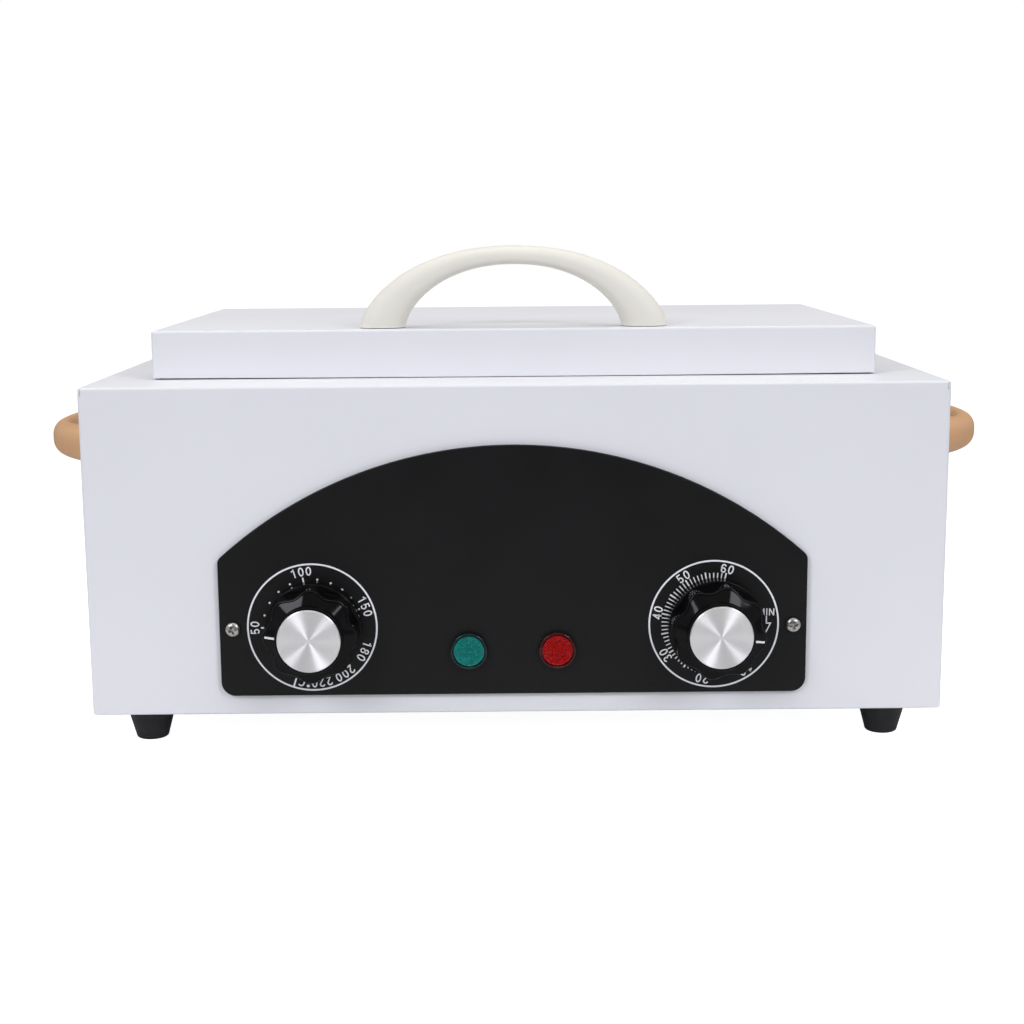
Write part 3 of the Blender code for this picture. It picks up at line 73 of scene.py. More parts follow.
camera_data = bpy.data.cameras.new("front_camera")
camera_data.lens = CAMERA_LENS
camera_data.sensor_width = CAMERA_SENSOR
camera = add("front_camera", camera_data)
aim = Matrix.Rotation(-CAMERA_RIGHT, 4, "Z") @ Matrix.Rotation(math.pi / 2 - CAMERA_DOWN, 4, "X")
camera.matrix_world = Matrix.Translation(CAMERA_PLACE) @ aim @ Matrix.Rotation(CAMERA_LEAN, 4, "Z")
scene.camera = camera


# Studio
# A floor in a white room with a light ceiling and side walls, a soft box high at each side of
# the camera and a wide one overhead. Room and floor show white, as in a cut-out picture. The
# floor's colour holds a painted pool of light: pale near the box, dark further out.
BLACK = (0.0, 0.0, 0.0)
WHITE = (1.0, 1.0, 1.0)
ROOM_LIGHT = 0.62
ROOM_LOW = (0.10, 0.105, 0.12)
ROOM_HIGH = (0.98, 0.97, 0.94)
ROOM_RISE = (0.35, 0.85)
WALL_LIGHT = (0.80, 0.82, 0.90)
WALL_REACH = (0.40, 0.80)
FLOOR_HALF = 6.0
# Painted pool of light on the floor: its colour near the box, its colour far out, and where it
# fades.
FLOOR_NEAR = (0.78, 0.78, 0.79)
FLOOR_FAR = (0.22, 0.22, 0.23)
FLOOR_PAINTED_POOL = (0.30, 0.60)
FLOOR_ROUGHNESS = 0.9
FLOOR_LIFT = 0.94
BOX_AIM = Vector((0.0, 0.0, 90.0)) * MM
BOX_LIGHTS = (
    ("left", Vector((-880.0, -1150.0, 915.0)) * MM, 500.0 * MM, 8.8, (0.88, 0.895, 0.975)),
    ("right", Vector((880.0, -1150.0, 915.0)) * MM, 500.0 * MM, 8.7, (0.89, 0.905, 0.965)),
    ("top", Vector((0.0, 60.0, 1400.0)) * MM, 1200.0 * MM, 5.6, (1.0, 0.99, 0.97)),
)


def fill(tree, node, *values, **inputs):
    """Fills a node's inputs, by number and then by name.

    A value is typed in. An output is joined, and a node stands for its first output."""
    for key, value in (*enumerate(values), *inputs.items()):
        socket = node.inputs[key if isinstance(key, int) else key.replace("_", " ")]
        if isinstance(value, bpy.types.Node):
            value = value.outputs[0]
        if isinstance(value, bpy.types.NodeSocket):
            tree.links.new(value, socket)
        else:
            socket.default_value = value
    return node


def wired(tree, kind, *values, does=None, **inputs):
    """Adds a node and fills its inputs. A node that works out a sum is told what it does."""
    node = tree.nodes.new("ShaderNode" + kind)
    if does:
        node.operation = does
    return fill(tree, node, *values, **inputs)


def ramp(tree, share, colours, places=(0.0, 1.0)):
    """A colour that runs between two colours as a share runs between two places."""
    node = wired(tree, "ValToRGB", share)
    for end, colour, place in zip(node.color_ramp.elements, colours, places):
        end.position = place
        end.color = (*colour, 1.0)
    return node


def blank(name):
    """A new material with its node tree and its one shader."""
    made = bpy.data.materials.new(name)
    made.use_nodes = True
    return made, made.node_tree, made.node_tree.nodes["Principled BSDF"]


room = bpy.data.worlds.new("room")
scene.world = room
room.use_nodes = True
tree = room.node_tree
to_eye = wired(tree, "LightPath").outputs["Is Camera Ray"]
towards = wired(tree, "TexCoord").outputs["Generated"]
split = wired(tree, "SeparateXYZ", towards)
ceiling = ramp(tree, split.outputs["Z"], (ROOM_LOW, ROOM_HIGH), ROOM_RISE)
sideways = wired(tree, "Math", split.outputs["X"], does="ABSOLUTE")
walls = ramp(tree, sideways, (BLACK, WALL_LIGHT), WALL_REACH)
both = wired(tree, "VectorMath", ceiling, walls, does="ADD")
dim = wired(tree, "Background", Color=both, Strength=ROOM_LIGHT)
plain = wired(tree, "Background", Color=(*WHITE, 1.0), Strength=1.0)
chosen = wired(tree, "MixShader", to_eye, dim, plain)
fill(tree, tree.nodes["World Output"], Surface=chosen)

floor_finish, tree, paper = blank("floor_paper")
where = wired(tree, "TexCoord").outputs["Object"]
away = wired(tree, "VectorMath", where, does="LENGTH").outputs["Value"]
# Painted pool of light: the floor's colour runs from pale near the box to dark further out.
painted_pool = wired(tree, "MapRange", away, *FLOOR_PAINTED_POOL)
to_eye = wired(tree, "LightPath").outputs["Is Camera Ray"]
lift = wired(tree, "Math", to_eye, FLOOR_LIFT, does="MULTIPLY")
fill(tree, paper, Base_Color=ramp(tree, painted_pool, (FLOOR_NEAR, FLOOR_FAR)), Roughness=FLOOR_ROUGHNESS,
     Specular_IOR_Level=0.0, Emission_Color=(*WHITE, 1.0), Emission_Strength=lift)
floor_mesh = bpy.data.meshes.new("floor")
floor_corners = np.array([(-1, -1, 0), (1, -1, 0), (1, 1, 0), (-1, 1, 0)]) * FLOOR_HALF
floor_mesh.from_pydata(floor_corners.tolist(), [], [(0, 1, 2, 3)])
floor_mesh.materials.append(floor_finish)
add("floor", floor_mesh)

for side, place, size, power, colour in BOX_LIGHTS:
    light = bpy.data.lights.new(f"soft_box_{side}", "AREA")
    light.shape = "SQUARE"
    light.size = size
    light.energy = power
    light.color = colour
    soft_box = add(f"soft_box_{side}", light)
    soft_box.location = place
    soft_box.rotation_euler = (BOX_AIM - place).to_track_quat("-Z", "Y").to_euler()
scene.view_settings.view_transform = "Standard"


# Case
# One sheet of steel, 0.8 mm thick, folded over the front, top and back and welded at the corners,
# then sprayed white. The basin hangs in the mouth in its top; the controls pass through its front.
SHEET = 0.8 * MM
CASE_BEND = 1.2 * MM
CORNER_SOFT = 0.25 * MM
CASE_HEM = 0.8 * MM
BASIN_FLANGE = 14.0 * MM
MOUTH_GAP = 1.0 * MM
BASIN_CORNER = 10.0 * MM
SEAM_INSET = 1.25 * MM
SEAM_WIDTH = 0.25 * MM
SEAM_DEPTH = 0.6 * MM
SEAM_HEIGHT = 3.4 * MM
FRONT_HOLES = (
    (5.0 * MM, ("temperature_knob", "timer_knob")),
    (6.5 * MM, ("green_lamp_bezel", "red_lamp_bezel")),
    (1.8 * MM, ("panel_screw_left", "panel_screw_right")),
)
HOLE_SIDES = 40
INLET_HOLE = (31.6 * MM, 21.6 * MM)
OVERRUN = 3.0 * MM
WELD = 0.0001 * MM
CREASE_DEG = 32.0
NOISE_BAND = (0.3, 0.7)

Box = namedtuple("Box", "low high middle half")


def box_of(node):
    """A node's lowest and highest corner, its middle and half its size."""
    low, high = (np.array(corner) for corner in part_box(node))
    return Box(low, high, (low + high) / 2, (high - low) / 2)


def about(middle, half):
    """The two ends of a stretch, from its middle and half its length."""
    return middle - half, middle + half


def finish(name, colour, rough, mottle, grain=(0.01 * MM, 1.0 * MM), metallic=0.0, specular=0.5,
           swing=0.04, stretch=(1.0, 1.0, 1.0)):
    """A paint, plastic or metal with slow and fine noise in it.

    The slow noise shifts the colour by a share and the roughness by the swing, and the fine noise
    lifts the surface: the mottle is that share and a patch's width, the grain is that height and
    a grain's width. Stretch squeezes both along each axis, as brushing does."""
    made, tree, shader = blank(name)
    where = wired(tree, "TexCoord").outputs["Object"]
    where = wired(tree, "Mapping", Vector=where, Scale=stretch)
    slow = wired(tree, "TexNoise", Vector=where, Scale=1 / mottle[1], Detail=3.0)
    tints = [[min(part * (1 + shift), 1.0) for part in colour] for shift in (-mottle[0], mottle[0])]
    spread = wired(tree, "MapRange", slow, *NOISE_BAND, rough - swing, rough + swing)
    fine = wired(tree, "TexNoise", Vector=where, Scale=1 / grain[1], Detail=2.0)
    bump = wired(tree, "Bump", Height=fine, Distance=grain[0], Strength=1.0)
    fill(tree, shader, Base_Color=ramp(tree, slow, tints, NOISE_BAND), Metallic=metallic,
         Roughness=spread, Specular_IOR_Level=specular, Normal=bump)
    return made


def skinned(points, joined=False):
    """Rings of points with their faces: quads from ring to ring, and a flat cap on either end.

    Joined rings have no caps, and the last one runs on to the first."""
    rings, across = points.shape[:2]
    spans = rings if joined else rings - 1
    i, k = np.meshgrid(np.arange(spans), np.arange(across), indexing="ij")
    j = (i + 1) % rings
    m = (k + 1) % across
    corners = (i * across + k, i * across + m, j * across + m, j * across + k)
    faces = np.stack(corners, axis=-1).reshape(-1, 4).tolist()
    if not joined:
        faces += [list(range(across)), list(range((rings - 1) * across, rings * across))]
    return points, faces


def mesh_of(name, shape):
    """A mesh of points and faces, welded where points meet and turned outwards."""
    points, faces = shape
    mesh = bpy.data.meshes.new(name)
    mesh.from_pydata(points.reshape(-1, 3).tolist(), [], faces)
    work = bmesh.new()
    work.from_mesh(mesh)
    bmesh.ops.remove_doubles(work, verts=work.verts, dist=WELD)
    bmesh.ops.recalc_face_normals(work, faces=work.faces)
    work.to_mesh(mesh)
    work.free()
    return mesh


def put(name, body, slot, skin, shape, *nodes, crease=CREASE_DEG):
    """Makes a named piece of points and faces, smooth but for its creases, in place of nodes."""
    piece = add(name, mesh_of(name, shape))
    piece.data.shade_smooth()
    piece.data.set_sharp_from_angle(angle=math.radians(crease))
    piece.data.materials.append(skin)
    piece.modifiers.new("flat_faces_stay_flat", "WEIGHTED_NORMAL").keep_sharp = True
    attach(piece, body)
    if nodes:
        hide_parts(*nodes)
    return piece


def carve(piece, *shapes):
    """Cuts closed shapes out of a piece, for good."""
    cuts = []
    for shape in shapes:
        tool = add("cutter", mesh_of("cutter", shape))
        step = piece.modifiers.new("cut", "BOOLEAN")
        step.object = tool
        step.solver = "EXACT"
        cuts.append((step, tool))
    even = piece.modifiers["flat_faces_stay_flat"]
    even.show_viewport = False
    bpy.context.view_layer.update()
    graph = bpy.context.evaluated_depsgraph_get()
    whole = piece.data
    piece.data = bpy.data.meshes.new_from_object(piece.evaluated_get(graph), depsgraph=graph)
    bpy.data.meshes.remove(whole)
    for step, tool in cuts:
        piece.modifiers.remove(step)
        bpy.data.objects.remove(tool, do_unlink=True)
    even.show_viewport = True
    piece.data.shade_smooth()
    piece.data.set_sharp_from_angle(angle=math.radians(CREASE_DEG))


def round_boxes(levels, steps=6, between=0):
    """One ring of points for each level of a box with round corners.

    A level is (middle x, middle y, half width, half depth, corner radius, z). Each corner is a
    quarter circle about a point one radius inside both walls, so the rings match point by point.
    More points may lie evenly between two corners."""
    middle_x, middle_y, half_x, half_y, radius, z = np.array(levels).T[:, :, None]
    quarter = np.repeat(np.arange(4), steps + 1)
    angle = (quarter + np.tile(np.linspace(0.0, 1.0, steps + 1), 4)) * np.pi / 2
    side_x = np.array([1, -1, -1, 1])[quarter]
    side_y = np.array([1, 1, -1, -1])[quarter]
    x = middle_x + side_x * (half_x - radius) + radius * np.cos(angle)
    y = middle_y + side_y * (half_y - radius) + radius * np.sin(angle)
    corners = np.stack((x, y, z + np.zeros_like(x)), axis=-1).reshape(len(levels), 4, steps + 1, 3)
    share = np.linspace(0.0, 1.0, between + 2)[1:-1, None]
    ahead = np.roll(corners, -1, axis=1)[:, :, :1]
    walls = corners[:, :, -1:] * (1 - share) + ahead * share
    return np.concatenate((corners, walls), axis=2).reshape(len(levels), -1, 3)


def level(box, inset, corner, z):
    """A level of round_boxes: a box's outline seen from above, moved inwards by an inset."""
    return *box.middle[:2], *(box.half[:2] - inset), max(corner, CORNER_SOFT), z


def edge(box, radius, corner, z, inset=0.0, steps=6, under=False):
    """Levels round the upper edge of a box, from its wall to its face, or up its lower edge.

    The upper edge's corners tighten as it goes in, and the lower edge's stay as they are."""
    turns = quarter_round(radius, steps)
    if under:
        return [level(box, inset + i, corner, z + radius - r) for i, r in turns[::-1]]
    return [level(box, inset + i, corner - i, z - radius + r) for i, r in turns]


def quarter_round(radius, steps=6):
    """Inset and rise along a quarter circle that turns from a wall into a face."""
    turn = np.linspace(0.0, np.pi / 2, steps + 1)
    return list(zip(radius * (1 - np.cos(turn)), radius * np.sin(turn)))


def brick(x, y, z):
    """A block from its two ends along X, Y and Z."""
    points = np.stack(np.meshgrid(x, y, z, indexing="ij"), axis=-1).reshape(-1, 3)
    faces = [(0, 1, 3, 2), (4, 6, 7, 5), (0, 4, 5, 1), (2, 3, 7, 6), (0, 2, 6, 4), (1, 5, 7, 3)]
    return points, faces


def front_holes(near, far):
    """Round cutters along Y, one for each thing that passes through the front."""
    angle = np.linspace(0.0, 2 * np.pi, HOLE_SIDES, endpoint=False)
    ends = np.array([(0, near, 0), (0, far, 0)])[:, None]
    cutters = []
    for radius, nodes in FRONT_HOLES:
        for x, _, z in (box_of(node).middle for node in nodes):
            circle = (x + radius * np.cos(angle), 0 * angle, z + radius * np.sin(angle))
            cutters.append(skinned(np.stack(circle, axis=-1) + ends))
    return cutters


white_paint = finish(
    "white_paint", (0.78, 0.78, 0.80), 0.55, (0.008, 70 * MM), (0.012 * MM, 1.6 * MM),
    specular=0.18, swing=0.03
)

case_box = box_of("case_shell")
basin_box = box_of("chamber_basin")
_, front_y, low_z = case_box.low
_, back_y, top_z = case_box.high
mouth_corner = BASIN_CORNER + SHEET + MOUTH_GAP
levels = edge(case_box, CASE_HEM, CASE_BEND, low_z, under=True)
levels += edge(case_box, CASE_BEND, CASE_BEND, top_z)
for z in (top_z, top_z - SHEET):
    levels.append(level(basin_box, BASIN_FLANGE - MOUTH_GAP, mouth_corner, z))
for z in (top_z - SHEET, low_z + CASE_HEM):
    levels.append(level(case_box, SHEET, CORNER_SOFT, z))
case = put("white_case", "case", "white_paint", white_paint, skinned(round_boxes(levels), True),
           "case_shell")

cuts = front_holes(front_y - OVERRUN, front_y + SHEET + OVERRUN)
for side in (-1, 1):
    seam = about(side * (case_box.half[0] - SEAM_INSET), SEAM_WIDTH / 2)
    high = (top_z - SEAM_HEIGHT, top_z + OVERRUN)
    cuts.append(brick(seam, (front_y - OVERRUN, front_y + SEAM_DEPTH), high))
x, _, z = box_of("power_inlet").middle
cuts.append(brick(about(x, INLET_HOLE[0] / 2), (back_y - SHEET - OVERRUN, back_y + OVERRUN),
                  about(z, INLET_HOLE[1] / 2)))
carve(case, *cuts)


# Lid cover
# A shallow pan of the same white steel, turned down on all four sides. Its lower edge is folded
# in, and bows down a little in the middle of the front, where the gap over the case is thinner.
HEM = 0.35 * MM
HEM_STEPS = 3
LID_SAG = 0.35 * MM
SAG_RISE = 6.0 * MM
LID_BETWEEN = 15

lid_box = box_of("lid_cover")
low_z, top_z = lid_box.low[2], lid_box.high[2]
levels = [level(lid_box, SHEET, CORNER_SOFT, z) for z in (top_z - SHEET, low_z + HEM)]
levels += edge(lid_box, HEM, CASE_BEND / 2, low_z, SHEET - HEM, HEM_STEPS, under=True)
levels += edge(lid_box, HEM, CASE_BEND, low_z, steps=HEM_STEPS, under=True)
levels += edge(lid_box, CASE_BEND, CASE_BEND, top_z)
points = round_boxes(levels, between=LID_BETWEEN)
across, along, z = np.moveaxis((points - lid_box.middle) / lid_box.half, -1, 0)
near_edge = np.clip(1 - (z + 1) * lid_box.half[2] / SAG_RISE, 0.0, 1.0)
points[..., 2] -= LID_SAG * (1 - across**2) * near_edge * (along < 0)
put("white_lid", "lid", "white_paint", white_paint, skinned(points), "lid_cover")


# Basin
# A deep-drawn stainless tray that hangs by its flange in the mouth of the case. Drawing leaves
# round corners and a round edge along the floor, and a brushed grain along its length.
BASIN_SHEET = 0.8 * MM
FLANGE_SHEET = 0.6 * MM
FLOOR_ROUND = 6.0 * MM
LIP_ROUND = 1.5 * MM
BASIN_CORNER_STEPS = 12

brushed_steel = finish(
    "brushed_steel", (0.60, 0.60, 0.605), 0.33, (0.012, 3 * MM), (0.0025 * MM, 0.7 * MM),
    metallic=1.0, swing=0.02, stretch=(0.04, 1.0, 1.0)
)

low_z, top_z = basin_box.low[2], basin_box.high[2]
flange_z = top_z - FLANGE_SHEET
floor_z = low_z + BASIN_SHEET + FLOOR_ROUND
well = BASIN_FLANGE + BASIN_SHEET
levels = []
for i, r in quarter_round(FLOOR_ROUND)[::-1]:
    levels.append(level(basin_box, well + i, BASIN_CORNER - i, floor_z - r))
for i, r in quarter_round(LIP_ROUND):
    levels.append(level(basin_box, well - i, BASIN_CORNER + i, top_z - LIP_ROUND + r))
levels += [
    level(basin_box, HEM / 2, BASIN_CORNER, top_z),
    level(basin_box, 0.0, BASIN_CORNER, flange_z),
    level(basin_box, BASIN_FLANGE - LIP_ROUND / 2, BASIN_CORNER + BASIN_SHEET, flange_z),
    level(basin_box, BASIN_FLANGE, BASIN_CORNER + BASIN_SHEET, flange_z - LIP_ROUND / 2),
]
levels += edge(basin_box, FLOOR_ROUND, BASIN_CORNER, low_z, BASIN_FLANGE, under=True)[::-1]
put("steel_basin", "case", "stainless_steel", brushed_steel,
    skinned(round_boxes(levels, BASIN_CORNER_STEPS)), "chamber_basin")


# Lid liner
# A stainless pan pressed into the underside of the lid, which holds the wool in. Its middle is
# embossed towards the basin so that the thin sheet stays flat.
LINER_SHEET = 0.6 * MM
EMBOSS_MARGIN = 34.0 * MM
EMBOSS_SLOPE = 5.0 * MM
EMBOSS_DEPTH = 1.4 * MM
EMBOSS_CORNER = 14.0 * MM
EMBOSS_STEPS = 7
LINER_CORNER_STEPS = 8

liner_box = box_of("lid_liner")
low_z, top_z = liner_box.low[2], liner_box.high[2]
inner_z = low_z + LINER_SHEET
levels = [
    level(liner_box, EMBOSS_MARGIN + EMBOSS_SLOPE, EMBOSS_CORNER, inner_z - EMBOSS_DEPTH),
    level(liner_box, EMBOSS_MARGIN, EMBOSS_CORNER, inner_z),
    level(liner_box, LINER_SHEET, CORNER_SOFT, inner_z),
    level(liner_box, LINER_SHEET, CORNER_SOFT, top_z),
    level(liner_box, 0.0, CASE_BEND, top_z),
]
levels += edge(liner_box, CASE_BEND, CASE_BEND, low_z, steps=4, under=True)[::-1]
for part in 0.5 - 0.5 * np.cos(np.linspace(0.0, np.pi, EMBOSS_STEPS)):
    inset = EMBOSS_MARGIN + part * EMBOSS_SLOPE
    levels.append(level(liner_box, inset, EMBOSS_CORNER, low_z - part * EMBOSS_DEPTH))
put("steel_lid_liner", "lid", "stainless_steel", brushed_steel,
    skinned(round_boxes(levels, LINER_CORNER_STEPS)), "lid_liner")


# Bow handles
# One moulding in two plastics: warm off-white on the lid, tan on the sides. Each is an arch with
# broad feet, fullest below the middle of its section, and is screwed on from inside the sheet.
BOW_CROWN = 8.0 * MM
BOW_FOOT = 19.8 * MM
BAND_CROWN_SHARE = 13.5 / 16.5
RUN_POWER = 2.2
RISE_POWER = 1.57
SECTION_POWER = 2.5
BELLY_SHARE = 0.22
BOW_STATIONS = 161
BOW_AROUND = 96
DIMPLE_LENGTH = 60.0 * MM
DIMPLE_WIDTH = 7.5 * MM
DIMPLE_DEPTH = 1.2 * MM
DIMPLE_STEEPNESS = 1.4

cream_plastic = finish(
    "cream_plastic", (0.790, 0.762, 0.680), 0.50, (0.015, 25 * MM), (0.004 * MM, 0.8 * MM),
    specular=0.25
)
tan_plastic = finish(
    "tan_plastic", (0.65, 0.378, 0.195), 0.48, (0.04, 18 * MM), (0.006 * MM, 0.8 * MM),
    specular=0.25
)


def swollen(share, power):
    """A cosine or sine as a superellipse has it: its size to 2 / power, with its sign kept."""
    return np.sign(share) * np.abs(share) ** (2 / power)


def bow(span, height, band, dimple=0.0):
    """Points of a bow handle: x along its span, y across its band, z up from its feet.

    Two superellipse arches give its outside and inside. Each station is a superellipse section
    between them, drawn towards the inside one where it is widest, and a dimple may sink into the
    outside of the crown."""
    turn = np.linspace(0.0, np.pi, BOW_STATIONS)[:, None]
    run, rise = np.cos(turn), np.clip(np.sin(turn), 0.0, 1.0)
    outer_x = span / 2 * swollen(run, RUN_POWER)
    outer_z = height * swollen(rise, RISE_POWER)
    inner_x = (span / 2 - BOW_FOOT) * swollen(run, RUN_POWER)
    inner_z = (height - BOW_CROWN) * swollen(rise, RISE_POWER)
    width = band * (BAND_CROWN_SHARE + (1 - BAND_CROWN_SHARE) * run**2)
    angle = np.linspace(0.0, 2 * np.pi, BOW_AROUND, endpoint=False)[None, :]
    out = swollen(np.sin(angle), SECTION_POWER)
    out = out - BELLY_SHARE * (1 - out**2) * rise
    x = (outer_x + inner_x) / 2 + (outer_x - inner_x) / 2 * out
    y = width / 2 * swollen(np.cos(angle), SECTION_POWER)
    z = (outer_z + inner_z) / 2 + (outer_z - inner_z) / 2 * out
    away = (x / (DIMPLE_LENGTH / 2)) ** 2 + (y / (DIMPLE_WIDTH / 2)) ** 2
    z = z - dimple * np.clip(DIMPLE_STEEPNESS * (1 - away), 0.0, 1.0) * (out > 0)
    return np.stack((x, y, z), axis=-1)


handle = box_of("lid_handle")
span, band, height = 2 * handle.half
points = bow(span, height, band) + np.array([*handle.middle[:2], handle.low[2]])
put("lid_bow_handle", "lid", "off_white_plastic", cream_plastic, skinned(points), "lid_handle")
for side, name in ((-1, "left"), (1, "right")):
    handle = box_of(f"side_handle_{name}")
    height, span, band = 2 * handle.half
    along, across, out = np.moveaxis(bow(span, height, band, DIMPLE_DEPTH), -1, 0)
    wall = handle.low[0] if side > 0 else handle.high[0]
    _, y, z = handle.middle
    points = np.stack((wall + side * out, y + along, z + across), axis=-1)
    put(f"{name}_bow_handle", "case", "tan_plastic", tan_plastic, skinned(points),
        f"side_handle_{name}")


# Control panel
# A moulded black plate, 2 mm thick, with a long arc over its top and a softened front edge. It
# has a fine satin texture and is held to the case by one screw at each side.
PANEL_ARC = 183.8 * MM
PANEL_LOW_CORNER = 6.0 * MM
PANEL_HIGH_CORNER = 4.0 * MM
PANEL_EDGE = 0.5 * MM
CORNER_STEPS = 10
ARC_STEPS = 120

black_satin = finish(
    "black_satin", (0.0065, 0.0065, 0.0066), 0.42, (0.10, 30 * MM), (0.006 * MM, 0.5 * MM),
    specular=0.20, swing=0.03
)

panel_box = box_of("control_panel")
panel_y = panel_box.low[1]


def panel_ring(inset, y):
    """The panel's outline, moved inwards by an inset.

    Every corner and the long arc keep their centres and lose the inset from their radius, so the
    outline stays parallel to itself."""
    arc_z = panel_box.high[2] - PANEL_ARC
    high_x = panel_box.half[0] - PANEL_HIGH_CORNER
    high_z = arc_z + math.sqrt((PANEL_ARC - PANEL_HIGH_CORNER) ** 2 - high_x**2)
    lean = math.atan2(high_z - arc_z, high_x)
    low_x = panel_box.half[0] - PANEL_LOW_CORNER
    low_z = panel_box.low[2] + PANEL_LOW_CORNER
    bends = (
        (low_x, low_z, PANEL_LOW_CORNER, -np.pi / 2, 0.0, CORNER_STEPS),
        (high_x, high_z, PANEL_HIGH_CORNER, 0.0, lean, CORNER_STEPS),
        (0.0, arc_z, PANEL_ARC, lean, np.pi - lean, ARC_STEPS),
        (-high_x, high_z, PANEL_HIGH_CORNER, np.pi - lean, np.pi, CORNER_STEPS),
        (-low_x, low_z, PANEL_LOW_CORNER, np.pi, 3 * np.pi / 2, CORNER_STEPS),
    )
    ring = []
    for x, z, radius, start, stop, count in bends:
        angle = np.linspace(start, stop, count + 1)
        reach = (radius - inset) * np.stack((np.cos(angle), 0 * angle, np.sin(angle)), axis=-1)
        ring.append(np.array([panel_box.middle[0] + x, y, z]) + reach)
    return np.concatenate(ring)


rings = [panel_ring(0.0, panel_box.high[1])]
rings += [panel_ring(i, panel_y + PANEL_EDGE - r) for i, r in quarter_round(PANEL_EDGE, 5)]
panel = put("black_control_panel", "case", "black_panel", black_satin, skinned(np.array(rings)),
            "control_panel")
carve(panel, *front_holes(panel_y - OVERRUN, panel_box.high[1] + OVERRUN))


# Dial print
# White ink screened on the panel: a ring round each knob, a temperature scale with ticks and
# dots, and a minute scale with long and short ticks. The figures stand with their tops outwards.
INK = 0.06 * MM
DIAL_PLACES = {"temperature": (-84.2 * MM, 29.5 * MM), "timer": (84.2 * MM, 29.5 * MM)}
RING_RADIUS = 27.05 * MM
RING_LINE = 0.72 * MM
RING_STEPS = 180
FIGURE_RADIUS = 24.1 * MM
FIGURE_HEIGHT = 3.8 * MM
FIGURE_WIDTH_SHARE = 1.1
FIGURE_LINE_SHARE = 0.147
FIGURE_SPACE_SHARE = 0.2
LOOP_GAP_SHARE = 0.1
TICK_WIDTH = 0.7 * MM
TEMPERATURE_FIGURES = {
    "50": -90.0, "100": -10.0, "150": 68.3, "180": 115.7, "200": 146.4, "220°C": 178.5
}
TEMPERATURE_TICKS = (-90.0, -9.3, 68.7)
TEMPERATURE_TICK = (19.6 * MM, 21.6 * MM)
TEMPERATURE_DOTS = (-74.9, -58.7, -41.8, -25.6, 7.2, 23.4, 38.6, 52.8, 84.3, 100.2, 114.9)
DOT_TRACK = 20.6 * MM
DOT_WIDTH = 0.9 * MM
END_MARK_DEG = -161.5
END_MARK = (23.1 * MM, 26.8 * MM)
TIMER_ZERO_DEG = 100.0
TIMER_MINUTE_DEG = 4.55
TIMER_MINUTES = range(10, 61)
LONG_TICK = (18.5 * MM, 22.35 * MM)
SHORT_TICK = (19.1 * MM, 21.9 * MM)
LONG_TICK_WIDTH = 0.62 * MM
SHORT_TICK_WIDTH = 0.45 * MM
UNIT_PLACE = (22.0 * MM, 5.0 * MM, 0.0)
UNIT_HEIGHT = 3.1 * MM
ARROW_X = 22.1 * MM
ARROW_TOP = 3.3 * MM
ARROW_NECK = 0.2 * MM
ARROW_TIP = -3.4 * MM
ARROW_HALF = 1.75 * MM
ARROW_LINE = 0.5 * MM

white_ink = finish(
    "white_ink", (0.86, 0.86, 0.87), 0.5, (0.03, 2 * MM), (0.01 * MM, 0.4 * MM), specular=0.3
)


def oval(x, y, half_x, half_y, start=0, stop=348, count=28):
    """Points along an ellipse between two angles in degrees."""
    turn = np.radians(np.linspace(start, stop, count))
    return np.stack((x + half_x * np.cos(turn), y + half_y * np.sin(turn)), axis=-1)


# A figure's width and its lines, in shares of its height. A line whose ends nearly meet is a loop.
STEM = [(0.07, 0.0), (0.07, 1.0)]
FIGURE_SHARES = {
    "0": (0.56, oval(0.28, 0.5, 0.21, 0.43)),
    "1": (0.56, [(0.34, 0.0), (0.34, 1.0)], [(0.1, 0.76), (0.25, 0.82), (0.36, 0.96)]),
    "2": (0.56, [*oval(0.28, 0.71, 0.2, 0.22, 170, -30, 20), (0.09, 0.07), (0.5, 0.07)]),
    "3": (
        0.56,
        oval(0.27, 0.715, 0.19, 0.215, 160, -90, 20),
        oval(0.27, 0.285, 0.21, 0.215, 90, -160, 20),
    ),
    "4": (0.56, [(0.39, 0.0), (0.39, 0.98)], [(0.37, 0.94), (0.06, 0.29), (0.54, 0.29)]),
    "5": (
        0.56,
        [(0.48, 0.93), (0.15, 0.93), (0.1, 0.48), *oval(0.27, 0.32, 0.21, 0.25, 128, -155, 22)],
    ),
    "6": (0.56, oval(0.285, 0.31, 0.2, 0.24), oval(0.31, 0.5, 0.225, 0.43, 195, 38, 20)),
    "8": (0.56, oval(0.28, 0.735, 0.175, 0.195), oval(0.28, 0.29, 0.21, 0.22)),
    "°": (0.3, oval(0.15, 0.85, 0.09, 0.09, 0, 330, 12)),
    "C": (0.68, oval(0.36, 0.5, 0.28, 0.43, 42, 318)),
    "M": (0.78, STEM, [(0.1, 0.97), (0.39, 0.06), (0.68, 0.97)], [(0.71, 0.0), (0.71, 1.0)]),
    "I": (0.14, STEM),
    "N": (0.66, STEM, [(0.1, 0.96), (0.56, 0.04)], [(0.59, 0.0), (0.59, 1.0)]),
}


